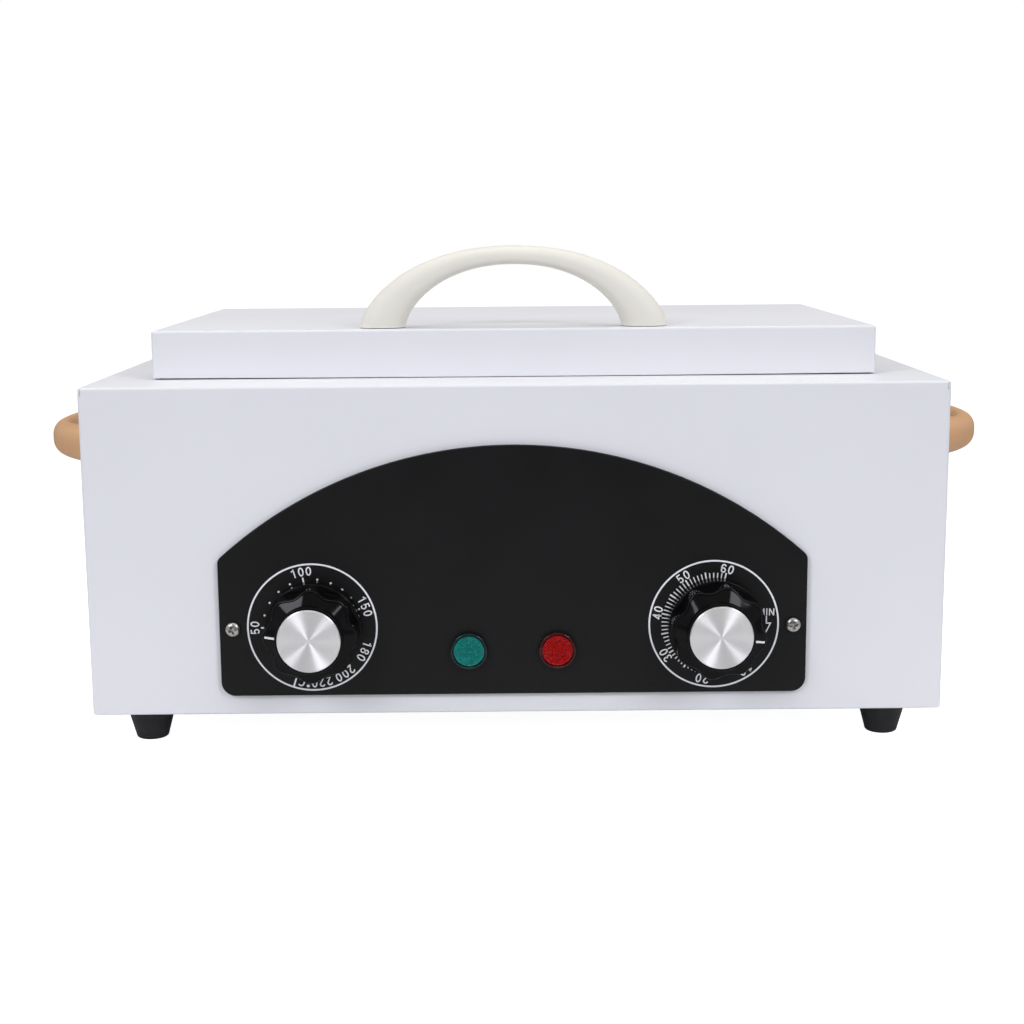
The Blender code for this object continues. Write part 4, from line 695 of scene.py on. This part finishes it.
def stroke(line, width, closed=False):
    """A thin flat bar of ink along a line of points.

    Each point moves half the width to both sides along the mitre of its two neighbouring
    stretches, and the four edges so made run along the line as one closed body."""
    line = np.asarray(line, dtype=float)
    if closed:
        ahead = np.roll(line, -1, axis=0) - line
        behind = line - np.roll(line, 1, axis=0)
    else:
        step = np.diff(line, axis=0)
        ahead = np.concatenate((step, step[-1:]))
        behind = np.concatenate((step[:1], step))
    ahead = ahead / np.linalg.norm(ahead, axis=1)[:, None]
    behind = behind / np.linalg.norm(behind, axis=1)[:, None]
    mitre = ahead + behind
    mitre = mitre / np.linalg.norm(mitre, axis=1)[:, None]
    reach = width / 2 / np.clip((mitre * ahead).sum(1), 0.5, 1.0)
    side = np.stack((-mitre[:, 1], mitre[:, 0]), axis=-1) * reach[:, None]
    flat = np.stack((line - side, line + side, line + side, line - side), axis=1)
    rise = np.array([-1, -1, 1, 1])[None, :, None] * INK / 2 + np.zeros((len(line), 4, 1))
    return skinned(np.concatenate((flat, rise), axis=-1), closed)


def gather(shapes):
    """Several shapes as one: points one after another, faces renumbered to follow them."""
    points = []
    faces = []
    count = 0
    for shape_points, shape_faces in shapes:
        faces += [[count + number for number in face] for face in shape_faces]
        points.append(shape_points.reshape(-1, 3))
        count += len(points[-1])
    return np.concatenate(points), faces


def lettering(word, height):
    """A word in strokes, its middle at the origin: one figure after another, a space apart."""
    strokes = []
    start = 0.0
    for letter in word:
        width, *lines = FIGURE_SHARES[letter]
        for line in lines:
            loop = math.dist(line[0], line[-1]) < LOOP_GAP_SHARE
            line = (np.asarray(line) + (start, 0.0)) * (FIGURE_WIDTH_SHARE, 1.0) * height
            strokes.append(stroke(line, FIGURE_LINE_SHARE * height, loop))
        start += width + FIGURE_SPACE_SHARE
    points, faces = gather(strokes)
    middle = np.array([(start - FIGURE_SPACE_SHARE) * FIGURE_WIDTH_SHARE / 2, 0.5, 0.0]) * height
    return points - middle, faces


def bent_round(shape, radius, degrees):
    """Bends a flat shape round a dial: across becomes an angle, and up becomes a distance out."""
    points, faces = shape
    across, up, out = np.moveaxis(points, -1, 0)
    turn = math.radians(degrees) + across / radius
    reach = radius + up
    return np.stack((reach * np.sin(turn), reach * np.cos(turn), out), axis=-1), faces


def tick(width, inner, outer, degrees):
    """A radial bar between two radii."""
    half = (outer - inner) / 2
    return bent_round(stroke([(0.0, -half), (0.0, half)], width), (inner + outer) / 2, degrees)


def printed(name, dial, shapes):
    """Puts a dial's ink on the panel, its place taken from the panel's middle and lower edge."""
    x, rise = DIAL_PLACES[dial]
    points, faces = gather(shapes)
    across, up, out = points.T
    x, z = across + panel_box.middle[0] + x, up + panel_box.low[2] + rise
    points = np.stack((x, panel_y - INK / 4 - out, z), axis=-1)
    put(name, "case", "white_print", white_ink, (points, faces))


ring = stroke(oval(0.0, 0.0, RING_RADIUS, RING_RADIUS, 0, 358, RING_STEPS), RING_LINE, True)
marks = [ring, tick(TICK_WIDTH, *END_MARK, END_MARK_DEG)]
for word, degrees in TEMPERATURE_FIGURES.items():
    marks.append(bent_round(lettering(word, FIGURE_HEIGHT), FIGURE_RADIUS, degrees))
for degrees in TEMPERATURE_TICKS:
    marks.append(tick(TICK_WIDTH, *TEMPERATURE_TICK, degrees))
for degrees in TEMPERATURE_DOTS:
    dot = stroke(oval(0.0, 0.0, DOT_WIDTH / 4, DOT_WIDTH / 4, 0, 330, 12), DOT_WIDTH / 2, True)
    marks.append(bent_round(dot, DOT_TRACK, degrees))
printed("temperature_scale", "temperature", marks)

marks = [ring]
for minute in TIMER_MINUTES:
    degrees = TIMER_ZERO_DEG + minute * TIMER_MINUTE_DEG
    if minute % 10 == 0:
        marks.append(bent_round(lettering(str(minute), FIGURE_HEIGHT), FIGURE_RADIUS, degrees))
    if minute % 5 == 0:
        marks.append(tick(LONG_TICK_WIDTH, *LONG_TICK, degrees))
    else:
        marks.append(tick(SHORT_TICK_WIDTH, *SHORT_TICK, degrees))
points, faces = lettering("MIN", UNIT_HEIGHT)
marks.append((points + UNIT_PLACE, faces))
marks.append(stroke([(ARROW_X, ARROW_TOP), (ARROW_X, ARROW_NECK)], ARROW_LINE))
head = [(x, ARROW_NECK) for x in about(ARROW_X, ARROW_HALF)]
marks.append(stroke([*head, (ARROW_X, ARROW_TIP)], ARROW_LINE, True))
printed("minute_scale", "timer", marks)


# Panel screws
# Two zinc-plated pan-head screws hold the panel, one at each side. The top of a head is pressed
# with a cross recess, whose walls slope so that the driver finds it.
PANEL_SCREW = (3.1 * MM, 1.9 * MM, 7.0 * MM)
PANEL_SCREW_TURNS = (("left", 0.35), ("right", 0.15))
CROSS_LENGTH = 3.6 * MM
CROSS_WIDTH = 1.0 * MM
CROSS_DEPTH = 1.4 * MM
CROSS_SLOPE = 0.16 * MM
DOME_POWER = 0.75
DOME_START_SHARE = 0.25
DOME_TOP_SHARE = 0.9
POLE_SHARE = 1 / 60
HEAD_SIDES = 96

zinc_plate = finish(
    "zinc_plate", (0.47, 0.455, 0.425), 0.30, (0.08, 3 * MM), (0.006 * MM, 0.4 * MM), metallic=1.0,
    swing=0.08
)

FRONT = np.array([(1, 0, 0), (0, 0, 1), (0, -1, 0)])
BACK = np.array([(-1, 0, 0), (0, 0, 1), (0, 1, 0)])
RIGHT = np.array([(0, 1, 0), (0, 0, 1), (1, 0, 0)])
UP = np.eye(3)


def turned(profile, sides, facing, place, shape=None, joined=False):
    """Turns a profile of (radius, height) about an axis that faces out of the surface.

    shape(radius, height, angle) may move the whole rings, and gives back radius and height."""
    radius, height = np.array(profile).T[:, :, None]
    angle = np.linspace(0.0, 2 * np.pi, sides, endpoint=False)[None, :]
    radius, height = radius + 0 * angle, height + 0 * angle
    if shape:
        radius, height = shape(radius, height, angle)
    points = np.stack((radius * np.cos(angle), radius * np.sin(angle), height), axis=-1)
    return skinned(points @ facing + np.array(place), joined)


def spin(angle):
    """A turn about the axis that a piece faces along."""
    along, across = math.cos(angle), math.sin(angle)
    return np.array([(along, across, 0), (-across, along, 0), (0, 0, 1)])


def recess(radius, height, angle):
    """Sinks two crossed slots with sloping walls into the top of a screw's head."""
    u, v = np.abs(radius * np.cos(angle)), np.abs(radius * np.sin(angle))
    deep = 0 * u
    for along, across in ((u, v), (v, u)):
        side = np.clip((CROSS_WIDTH / 2 - across) / CROSS_SLOPE, 0.0, 1.0)
        end = np.clip((CROSS_LENGTH / 2 - along) / (2 * CROSS_SLOPE), 0.0, 1.0)
        deep = np.maximum(deep, side * end)
    return radius, height - CROSS_DEPTH * deep * (height > 0)


def add_screw(kind, side, facing, size, turn):
    """A pan-head screw in place of a node, the back of its head where the node's head has its own.

    The head is a dome like a flattened ellipse, over a plain shank of half its radius."""
    node = box_of(f"{kind}_screw_{side}")
    radius, rise, shank = size
    axis = facing[2]
    place = node.middle + axis * (np.abs(axis) @ node.half - rise)
    pole, neck = radius * POLE_SHARE, radius / 2
    profile = [(pole, -shank), (neck, -shank), (neck, 0.0), (radius, 0.0)]
    for t in np.linspace(0.0, np.pi / 2, 16)[:-1]:
        lift = DOME_START_SHARE + (1 - DOME_START_SHARE) * math.sin(t)
        profile.append((radius * math.cos(t) ** DOME_POWER, rise * lift))
    profile += [(r, rise) for r in np.linspace(profile[-1][0] * DOME_TOP_SHARE, pole, 26)]
    put(f"{kind}_screw_head_{side}", "case", "zinc_plate", zinc_plate,
        turned(profile, HEAD_SIDES, spin(turn) @ facing, place, recess), f"{kind}_screw_{side}")


for side, turn in PANEL_SCREW_TURNS:
    add_screw("panel", side, FRONT, PANEL_SCREW, turn)


# Pilot lamps
# Each is one tinted plastic cap over a neon lamp: a shiny rim round a window whose face has a
# fine diamond pattern that scatters the light. The rim looks nearly black where it is thick.
BARREL = 6.2 * MM
BEZEL_EDGE = 0.5 * MM
WINDOW_SINK = 0.45 * MM
WINDOW = 6.45 * MM
WINDOW_FLAT_SHARE = 0.985
POCKET = 6.75 * MM
POCKET_LEAD = (0.2 * MM, 0.25 * MM)
POCKET_FLOOR = 1.7 * MM
DIAMOND = 1.2 * MM
DIAMOND_DEPTH = 0.40 * MM
DIAMOND_FIELD_SHARE = 0.97
LENS_DOME = 0.22 * MM
LAMP_POLE = BARREL / 40
RIM_SIDES = 96
WINDOW_SIDES = 168
WINDOW_CREASE_DEG = 60.0

green_rim = finish("green_rim", (0.001, 0.009, 0.009), 0.12, (0.2, 4 * MM), specular=0.38)
red_rim = finish("red_rim", (0.028, 0.001, 0.001), 0.12, (0.2, 4 * MM), specular=0.34)
green_window = finish(
    "green_window", (0.001, 0.172, 0.144), 0.20, (0.35, 1.2 * MM), (0.02 * MM, 0.5 * MM),
    specular=0.20
)
red_window = finish(
    "red_window", (0.320, 0.003, 0.003), 0.24, (0.35, 1.2 * MM), (0.02 * MM, 0.5 * MM),
    specular=0.13
)


def diamonds(radius, height, angle):
    """Raises a grid of small pyramids on the window's face: the product of two slanting waves."""
    x, y = radius * np.cos(angle), radius * np.sin(angle)
    wave = 2 * np.pi / DIAMOND
    bumps = np.abs(np.sin(wave * (x + y) / 2)) * np.abs(np.sin(wave * (x - y) / 2))
    fade = np.clip((WINDOW * DIAMOND_FIELD_SHARE - radius) / (DIAMOND / 2), 0.0, 1.0)
    return radius, height + DIAMOND_DEPTH * (bumps - 1) * fade * (height > 0)


LAMPS = (("green", green_rim, green_window), ("red", red_rim, red_window))
for colour, rim_skin, window_skin in LAMPS:
    bezel = box_of(f"{colour}_lamp_bezel")
    x, _, z = bezel.middle
    rim = bezel.half[0]
    face = panel_y - bezel.low[1]
    back = face - 2 * bezel.half[1]
    profile = [(LAMP_POLE, back), (BARREL, back), (BARREL, 0.0), (rim, 0.0)]
    profile += [(rim - i, face - BEZEL_EDGE + r) for i, r in quarter_round(BEZEL_EDGE, 5)]
    profile += [(POCKET + POCKET_LEAD[0], face), (POCKET, face - POCKET_LEAD[1])]
    profile += [(POCKET, face - POCKET_FLOOR), (LAMP_POLE, face - POCKET_FLOOR)]
    put(f"{colour}_lamp_rim", "case", f"{colour}_lens", rim_skin,
        turned(profile, RIM_SIDES, FRONT, (x, panel_y, z)), f"{colour}_lamp_bezel")

    lens = box_of(f"{colour}_lamp_lens")
    thick = 2 * lens.half[1]
    profile = [(LAMP_POLE, 0.0), (WINDOW, 0.0), (WINDOW, thick - WINDOW_SINK)]
    reach = np.linspace(WINDOW * WINDOW_FLAT_SHARE, LAMP_POLE, 52)
    profile += [(r, thick - LENS_DOME * (r / WINDOW) ** 2) for r in reach]
    put(f"{colour}_lamp_window", "case", f"{colour}_lens", window_skin,
        turned(profile, WINDOW_SIDES, FRONT, (x, lens.high[1], z), diamonds), f"{colour}_lamp_lens",
        crease=WINDOW_CREASE_DEG)


# Knobs
# Glossy black phenolic mouldings: a round skirt, a grip with eight lobes and a conical front, and
# a collar that holds a turned aluminium disc. A white line on one lobe points at the scale.
SKIRT_HEIGHT = 7.0 * MM
GRIP_RADIUS = 19.8 * MM
GRIP_ROOT = 0.05 * MM
GRIP_DRAFT = 0.02 * MM
GRIP_RISES = (0.4 * MM, 0.8 * MM)
SHOULDER_HEIGHT = 14.8 * MM
SHOULDER_ROUND = 1.0 * MM
COLLAR_RADIUS = 14.0 * MM
COLLAR_HEIGHT = 18.25 * MM
KNOB_LOBES = 8
FLUTE = 2.2 * MM
LOBE_CROWN = 0.22 * MM
KNOB_EDGE = 0.5 * MM
CAP_SEAT = 13.3 * MM
POCKET_DEPTH = 0.9 * MM
BORE = 3.3 * MM
BORE_DEPTH = 15.0 * MM
BORE_POLE = BORE / 20
KNOB_SIDES = 240
KNOB_CREASE_DEG = 40.0
POINTER_WIDTH = 0.9 * MM
POINTER_LIFT = 0.05 * MM
GROOVE = 0.18 * MM
GROOVE_DEPTH = 0.004 * MM
DISC_LOW = (0.90, 0.89, 0.875)
DISC_HIGH = (1.0, 0.99, 0.975)
DISC_ROUGHNESS = (0.38, 0.50)
DISC_STREAK = 0.93
DISC_EDGE = 0.35 * MM
DISC_DISH = 0.25 * MM
DISC_POLE_SHARE = 1 / 80
DISC_SIDES = 120
KNOB_RESTS = (("temperature", math.radians(-89.6)), ("timer", math.radians(101.4)))

gloss_black = finish(
    "gloss_black", (0.004, 0.004, 0.0042), 0.08, (0.1, 12 * MM), (0.002 * MM, 1.2 * MM),
    specular=0.12, swing=0.02
)


def spun_aluminium():
    """Aluminium faced on a lathe: fine rings that spread the gloss out from the middle.

    The piece's UV map runs out from the axis in U, so the rings follow U and the gloss is
    stretched along it."""
    made, tree, shader = blank("spun_aluminium")
    outwards = wired(tree, "Tangent")
    outwards.direction_type = "UV_MAP"
    outwards.uv_map = "turning"
    chart = wired(tree, "UVMap")
    chart.uv_map = "turning"
    split = wired(tree, "SeparateXYZ", chart)
    along = wired(tree, "Math", split.outputs["X"], MM / GROOVE, does="MULTIPLY")
    rings = wired(tree, "TexNoise", Scale=1.0, Detail=2.0)
    rings.noise_dimensions = "1D"
    fill(tree, rings, W=along)
    spread = wired(tree, "MapRange", rings, 0.0, 1.0, *DISC_ROUGHNESS)
    bump = wired(tree, "Bump", Height=rings, Distance=GROOVE_DEPTH, Strength=1.0)
    fill(tree, shader, Base_Color=ramp(tree, rings, (DISC_LOW, DISC_HIGH)), Metallic=1.0,
         Roughness=spread, Normal=bump, Anisotropic=DISC_STREAK, Tangent=outwards)
    return made


spun = spun_aluminium()

CONE_RADIUS = GRIP_RADIUS - SHOULDER_ROUND
CONE_HEIGHT = SHOULDER_HEIGHT + SHOULDER_ROUND
CONE_SLOPE = (COLLAR_HEIGHT - CONE_HEIGHT) / (CONE_RADIUS - COLLAR_RADIUS)


def lobes(radius, height, angle):
    """Draws the grip in between its lobes by a cosine wave.

    The upper edge slides up the cone as it goes in, less the crown that rounds each lobe."""
    on_grip = (height > SKIRT_HEIGHT) & (height < COLLAR_HEIGHT) & (radius > COLLAR_RADIUS)
    share = np.clip((radius - COLLAR_RADIUS) / (CONE_RADIUS - COLLAR_RADIUS), 0.0, 1.0)
    wave = (1 - np.cos(KNOB_LOBES * angle)) / 2 * share * on_grip
    lift = (FLUTE * CONE_SLOPE - LOBE_CROWN) * wave * (height >= SHOULDER_HEIGHT)
    return radius - FLUTE * wave, height + lift


def shoulder(count):
    """Points (radius, height) from the grip's wall, round its edge, and straight up the cone."""
    edge = [(GRIP_RADIUS - i, SHOULDER_HEIGHT + r) for i, r in quarter_round(SHOULDER_ROUND)]
    cone = np.linspace((CONE_RADIUS, CONE_HEIGHT), (COLLAR_RADIUS, COLLAR_HEIGHT), count)[1:]
    return np.concatenate((edge, cone))


for name, rest in KNOB_RESTS:
    knob = box_of(f"{name}_knob")
    place = (knob.middle[0], knob.high[1], knob.middle[2])
    skirt, top = knob.half[0], 2 * knob.half[1]
    brim = SKIRT_HEIGHT - KNOB_EDGE
    rim = KNOB_EDGE / 2
    wall = np.linspace((GRIP_RADIUS - GRIP_DRAFT, SKIRT_HEIGHT + GRIP_RISES[1]),
                       (GRIP_RADIUS, SHOULDER_HEIGHT), 12)
    profile = [(BORE_POLE, BORE_DEPTH), (BORE, BORE_DEPTH), (BORE, 0.0), (skirt - rim, 0.0)]
    profile += [(skirt, rim), (skirt, brim)]
    profile += [(skirt - i, brim + r) for i, r in quarter_round(KNOB_EDGE)]
    profile += [(GRIP_RADIUS - GRIP_ROOT, SKIRT_HEIGHT + GRIP_ROOT)]
    profile += [(GRIP_RADIUS, SKIRT_HEIGHT + GRIP_RISES[0]), *wall, *shoulder(18)[1:]]
    profile += [(COLLAR_RADIUS - i, top - rim + r) for i, r in quarter_round(rim, 4)]
    profile += [(CAP_SEAT, top), (CAP_SEAT, top - POCKET_DEPTH), (BORE_POLE, top - POCKET_DEPTH)]
    facing = spin(math.pi / 2 - rest) @ FRONT
    put(f"{name}_grip", f"{name}_dial", "gloss_black_plastic", gloss_black,
        turned(profile, KNOB_SIDES, facing, place, lobes), f"{name}_knob", crease=KNOB_CREASE_DEG)

    line = np.insert(shoulder(12)[6:], 1, 0.0, axis=1)
    slope = np.gradient(line, axis=0)
    out = np.stack((slope[:, 2], 0 * slope[:, 0], -slope[:, 0]), axis=-1)
    out *= POINTER_LIFT / np.linalg.norm(out, axis=1)[:, None]
    wide = np.array([0.0, POINTER_WIDTH / 2, 0.0])
    corners = (line - wide - out, line + wide - out, line + wide + out, line - wide + out)
    rings = np.stack(corners, axis=1) @ facing + np.array(place)
    put(f"{name}_pointer", f"{name}_dial", "white_print", white_ink, skinned(rings))

    cap = box_of(f"{name}_knob_cap")
    disc, thick = cap.half[0], 2 * cap.half[1]
    pole = disc * DISC_POLE_SHARE
    seat = (place[0], cap.high[1], place[2])
    profile = [(pole, 0.0), (disc, 0.0), (disc, thick - DISC_EDGE), (disc - DISC_EDGE, thick)]
    reach = np.linspace(disc - 2 * DISC_EDGE, pole, 30)
    profile += [(r, thick - DISC_DISH * (1 - (r / disc) ** 2)) for r in reach]
    plate = put(f"{name}_disc", f"{name}_dial", "aluminium", spun,
                turned(profile, DISC_SIDES, facing, seat), f"{name}_knob_cap").data
    chart = plate.uv_layers.new(name="turning")
    spots = np.empty(len(plate.vertices) * 3)
    plate.vertices.foreach_get("co", spots)
    owner = np.empty(len(plate.loops), dtype=int)
    plate.loops.foreach_get("vertex_index", owner)
    offset = spots.reshape(-1, 3)[owner] - np.array(seat)
    reach = np.hypot(offset[:, 0], offset[:, 2]) / MM
    turn = np.arctan2(offset[:, 2], offset[:, 0])
    first = np.repeat(*zip(*((face.loop_start, face.loop_total) for face in plate.polygons)))
    turn = turn[first] + (turn - turn[first] + np.pi) % (2 * np.pi) - np.pi
    chart.data.foreach_set("uv", np.stack((reach, turn), axis=-1).ravel())


# Feet
# Tapered black rubber feet with a well in the underside for the screw that holds each of them to
# the base plate.
FOOT_BOTTOM = 7.05 * MM
FOOT_EDGE = 1.4 * MM
FOOT_WELL = 4.0 * MM
FOOT_WELL_DEPTH = 9.0 * MM
FOOT_BORE = 2.2 * MM
FOOT_NECK = 1.0 * MM
FOOT_SIDES = 72

rubber = finish(
    "black_rubber", (0.020, 0.020, 0.021), 0.55, (0.2, 6 * MM), (0.03 * MM, 0.6 * MM),
    specular=0.35
)

for corner in ("front_left", "front_right", "rear_left", "rear_right"):
    foot = box_of(f"foot_{corner}")
    wide, height = foot.half[0], 2 * foot.half[2]
    neck = wide - FOOT_NECK / 2
    profile = [(FOOT_BORE, FOOT_WELL_DEPTH), (FOOT_WELL, FOOT_WELL_DEPTH), (FOOT_WELL, 0.0)]
    profile += [(FOOT_BOTTOM - i, FOOT_EDGE - r) for i, r in quarter_round(FOOT_EDGE)[::-1]]
    profile += [(wide, height - FOOT_NECK), (neck, height - FOOT_NECK / 8), (neck, height)]
    profile.append((FOOT_BORE, height))
    place = (*foot.middle[:2], foot.low[2])
    put(f"rubber_foot_{corner}", "case", "black_rubber", rubber,
        turned(profile, FOOT_SIDES, UP, place, joined=True), f"foot_{corner}")


# Hinges
# Two steel butt hinges at the back. Each leaf is a strip whose end is curled round the pin, with
# the knuckles cut away in turn, and is held to the sheet by three domed rivets.
HINGE_SHEET = 1.2 * MM
PIN_RADIUS = 1.5 * MM
PIN_GAP = 0.35 * MM
PIN_HEAD = 0.8 * MM
CURL = math.radians(300.0)
CURL_STEPS = 60
KNUCKLE_GAP = 0.4 * MM
RIVET = 2.3 * MM
RIVET_RISE = 1.0 * MM
RIVET_X = 20.0 * MM
RIVET_Z = 11.0 * MM
RIVET_SEAT = 0.2 * MM
RIVET_SIDES = 40

hinge_steel = finish(
    "hinge_steel", (0.53, 0.53, 0.53), 0.34, (0.07, 8 * MM), (0.005 * MM, 0.7 * MM), metallic=1.0,
    swing=0.08, stretch=(0.15, 1.0, 1.0)
)


def leaf_section(side, tip):
    """Section of a leaf about the pin: a flat strip from its tip, then a curl of 300 degrees."""
    inner = PIN_RADIUS + PIN_GAP
    outer = inner + HINGE_SHEET
    turn = math.pi + side * np.linspace(0.0, CURL, CURL_STEPS)
    curl = np.stack((np.cos(turn), np.sin(turn)), axis=-1)
    ends = np.array([(-inner, side * tip), (-outer, side * tip)])
    return np.concatenate((ends, outer * curl, inner * curl[::-1]))


for name in ("left", "right"):
    pin = box_of(f"hinge_pin_{name}")
    x, y, z = pin.middle
    for kind, body, side in (("case", "case", -1), ("lid", "lid", 1)):
        node = box_of(f"hinge_{kind}_leaf_{name}")
        half = node.half[0]
        tip = node.high[2] - z if side > 0 else z - node.low[2]
        section = leaf_section(side, tip)
        ends = np.array([(x - half, y, z), (x + half, y, z)])[:, None]
        leaf = put(f"hinge_leaf_{kind}_{name}", body, "stainless_steel", hinge_steel,
                   skinned(ends + np.insert(section, 0, 0.0, axis=1)), f"hinge_{kind}_leaf_{name}")
        reach = PIN_RADIUS + PIN_GAP + HINGE_SHEET + KNUCKLE_GAP
        third, play = half / 3, KNUCKLE_GAP / 2
        if side < 0:
            gaps = [about(x, third + play)]
        else:
            gaps = [(x - half - OVERRUN, x - third + play), (x + third - play, x + half + OVERRUN)]
        carve(leaf, *(brick(gap, about(y, reach), about(z, reach)) for gap in gaps))
        profile = [(RIVET * POLE_SHARE, -RIVET_SEAT), (RIVET * (1 + POLE_SHARE), -RIVET_SEAT)]
        for t in np.linspace(0.0, np.pi / 2, 9):
            profile.append((RIVET * (math.cos(t) + POLE_SHARE), RIVET_RISE * math.sin(t)))
        rivets = []
        for offset in (-RIVET_X, 0.0, RIVET_X):
            place = (x + offset, y - PIN_RADIUS - PIN_GAP, z + side * RIVET_Z)
            rivets.append(turned(profile, RIVET_SIDES, BACK, place))
        put(f"hinge_rivets_{kind}_{name}", body, "zinc_plate", zinc_plate, gather(rivets))
    half, head = pin.half[0], pin.half[2]
    neck = half - PIN_HEAD
    dome = [(head - i, neck + r) for i, r in quarter_round(PIN_HEAD, 5)]
    profile = [(head * POLE_SHARE, -half), *((r, -h) for r, h in dome[::-1]), (head, -neck)]
    profile += [(PIN_RADIUS, -neck), (PIN_RADIUS, neck), *dome, (head * POLE_SHARE, half)]
    put(f"hinge_rod_{name}", "case", "zinc_plate", zinc_plate,
        turned(profile, RIVET_SIDES, RIGHT, (x, y, z)), f"hinge_pin_{name}")


# Mains inlet
# A black moulded appliance inlet in the back wall: a flange with a screw at each end, a deep
# socket, and three plated blades for a mains lead.
INLET_FLANGE_CORNER = 4.0 * MM
INLET_FLANGE_SHEET = 3.0 * MM
INLET_EDGE = 0.6 * MM
INLET_SHANK = np.array([31.0, 21.0]) * MM
SOCKET = np.array([24.6, 16.6]) * MM
SOCKET_CORNER = 2.6 * MM
SOCKET_DEPTH = 16.0 * MM
BLADES = ((-7.0 * MM, 3.2 * MM), (0.0, -1.0 * MM), (7.0 * MM, 3.2 * MM))
BLADE = (2.0 * MM, 4.0 * MM, 13.0 * MM)
BLADE_POINT = 1.0 * MM
INLET_SCREW = (2.8 * MM, 1.6 * MM, 8.0 * MM)
INLET_SCREW_TURNS = (("left", 0.3), ("right", 0.9))

inlet_black = finish(
    "inlet_black", (0.014, 0.014, 0.015), 0.38, (0.15, 10 * MM), (0.01 * MM, 0.5 * MM),
    specular=0.4
)

inlet = box_of("power_inlet")
place = np.array([inlet.middle[0], inlet.high[1], inlet.middle[2]])
flange = inlet.half[[0, 2]]
levels = [
    (0.0, 0.0, *INLET_SHANK / 2, SOCKET_CORNER, -2 * inlet.half[1]),
    (0.0, 0.0, *INLET_SHANK / 2, SOCKET_CORNER, -INLET_FLANGE_SHEET),
    (0.0, 0.0, *flange, INLET_FLANGE_CORNER, -INLET_FLANGE_SHEET),
]
for inset, rise in quarter_round(INLET_EDGE, 4):
    levels.append((0.0, 0.0, *flange - inset, INLET_FLANGE_CORNER - inset, rise - INLET_EDGE))
levels += [
    (0.0, 0.0, *SOCKET / 2 + INLET_EDGE, SOCKET_CORNER + INLET_EDGE, 0.0),
    (0.0, 0.0, *SOCKET / 2, SOCKET_CORNER, -INLET_EDGE),
    (0.0, 0.0, *SOCKET / 2, SOCKET_CORNER, -SOCKET_DEPTH),
]
put("inlet_moulding", "case", "black_plastic", inlet_black,
    skinned(round_boxes(levels, 8) @ BACK + place), "power_inlet")
wide, tall = BLADE[0] / 2, BLADE[1] / 2
tip = BLADE[2] - SOCKET_DEPTH
blades = []
for x, z in BLADES:
    levels = [
        (x, z, wide, tall, wide / 3, -SOCKET_DEPTH - BLADE_POINT),
        (x, z, wide, tall, wide / 3, tip - BLADE_POINT),
        (x, z, wide / 2, tall - wide / 2, wide / 3, tip),
    ]
    blades.append(skinned(round_boxes(levels, 3) @ BACK + place))
put("inlet_blades", "case", "zinc_plate", zinc_plate, gather(blades))
for side, turn in INLET_SCREW_TURNS:
    add_screw("inlet", side, BACK, INLET_SCREW, turn)


# Inner parts
# What the case holds: the base plate with its slots, the sheathed heating rod and its straps, the
# mineral wool, the thermostat with its capillary, the timer, the terminal block, shafts and screws.
base_zinc = finish(
    "base_zinc", (0.52, 0.52, 0.50), 0.38, (0.10, 14 * MM), (0.008 * MM, 1.0 * MM), metallic=1.0,
    swing=0.08
)
heat_sheath = finish(
    "heat_sheath", (0.30, 0.27, 0.23), 0.42, (0.25, 22 * MM), (0.006 * MM, 0.6 * MM), metallic=1.0,
    swing=0.08
)
mineral_wool = finish(
    "mineral_wool", (0.62, 0.57, 0.42), 0.95, (0.25, 5 * MM), (0.8 * MM, 1.6 * MM), specular=0.1,
    stretch=(1.0, 1.0, 3.0)
)
bakelite = finish(
    "brown_bakelite", (0.055, 0.028, 0.018), 0.4, (0.2, 8 * MM), (0.01 * MM, 0.7 * MM)
)
ceramic = finish("white_ceramic", (0.74, 0.72, 0.65), 0.6, (0.05, 6 * MM), (0.03 * MM, 0.8 * MM))
DRESSING = (
    (base_zinc, ("base_plate", "heater_strap_left", "heater_strap_right")),
    (heat_sheath, ("heating_element",)),
    (brushed_steel, ("thermostat_sensor",)),
    (mineral_wool, ("insulation_jacket", "lid_insulation")),
    (bakelite, ("thermostat_body", "timer_body")),
    (ceramic, ("terminal_block",)),
)
dressed = {node: skin for skin, nodes in DRESSING for node in nodes}
for name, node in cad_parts.items():
    if node.hide_render:
        continue
    skin = dressed.get(name, zinc_plate)
    if node.material_slots:
        node.material_slots[0].material = skin
    else:
        node.data.materials.append(skin)
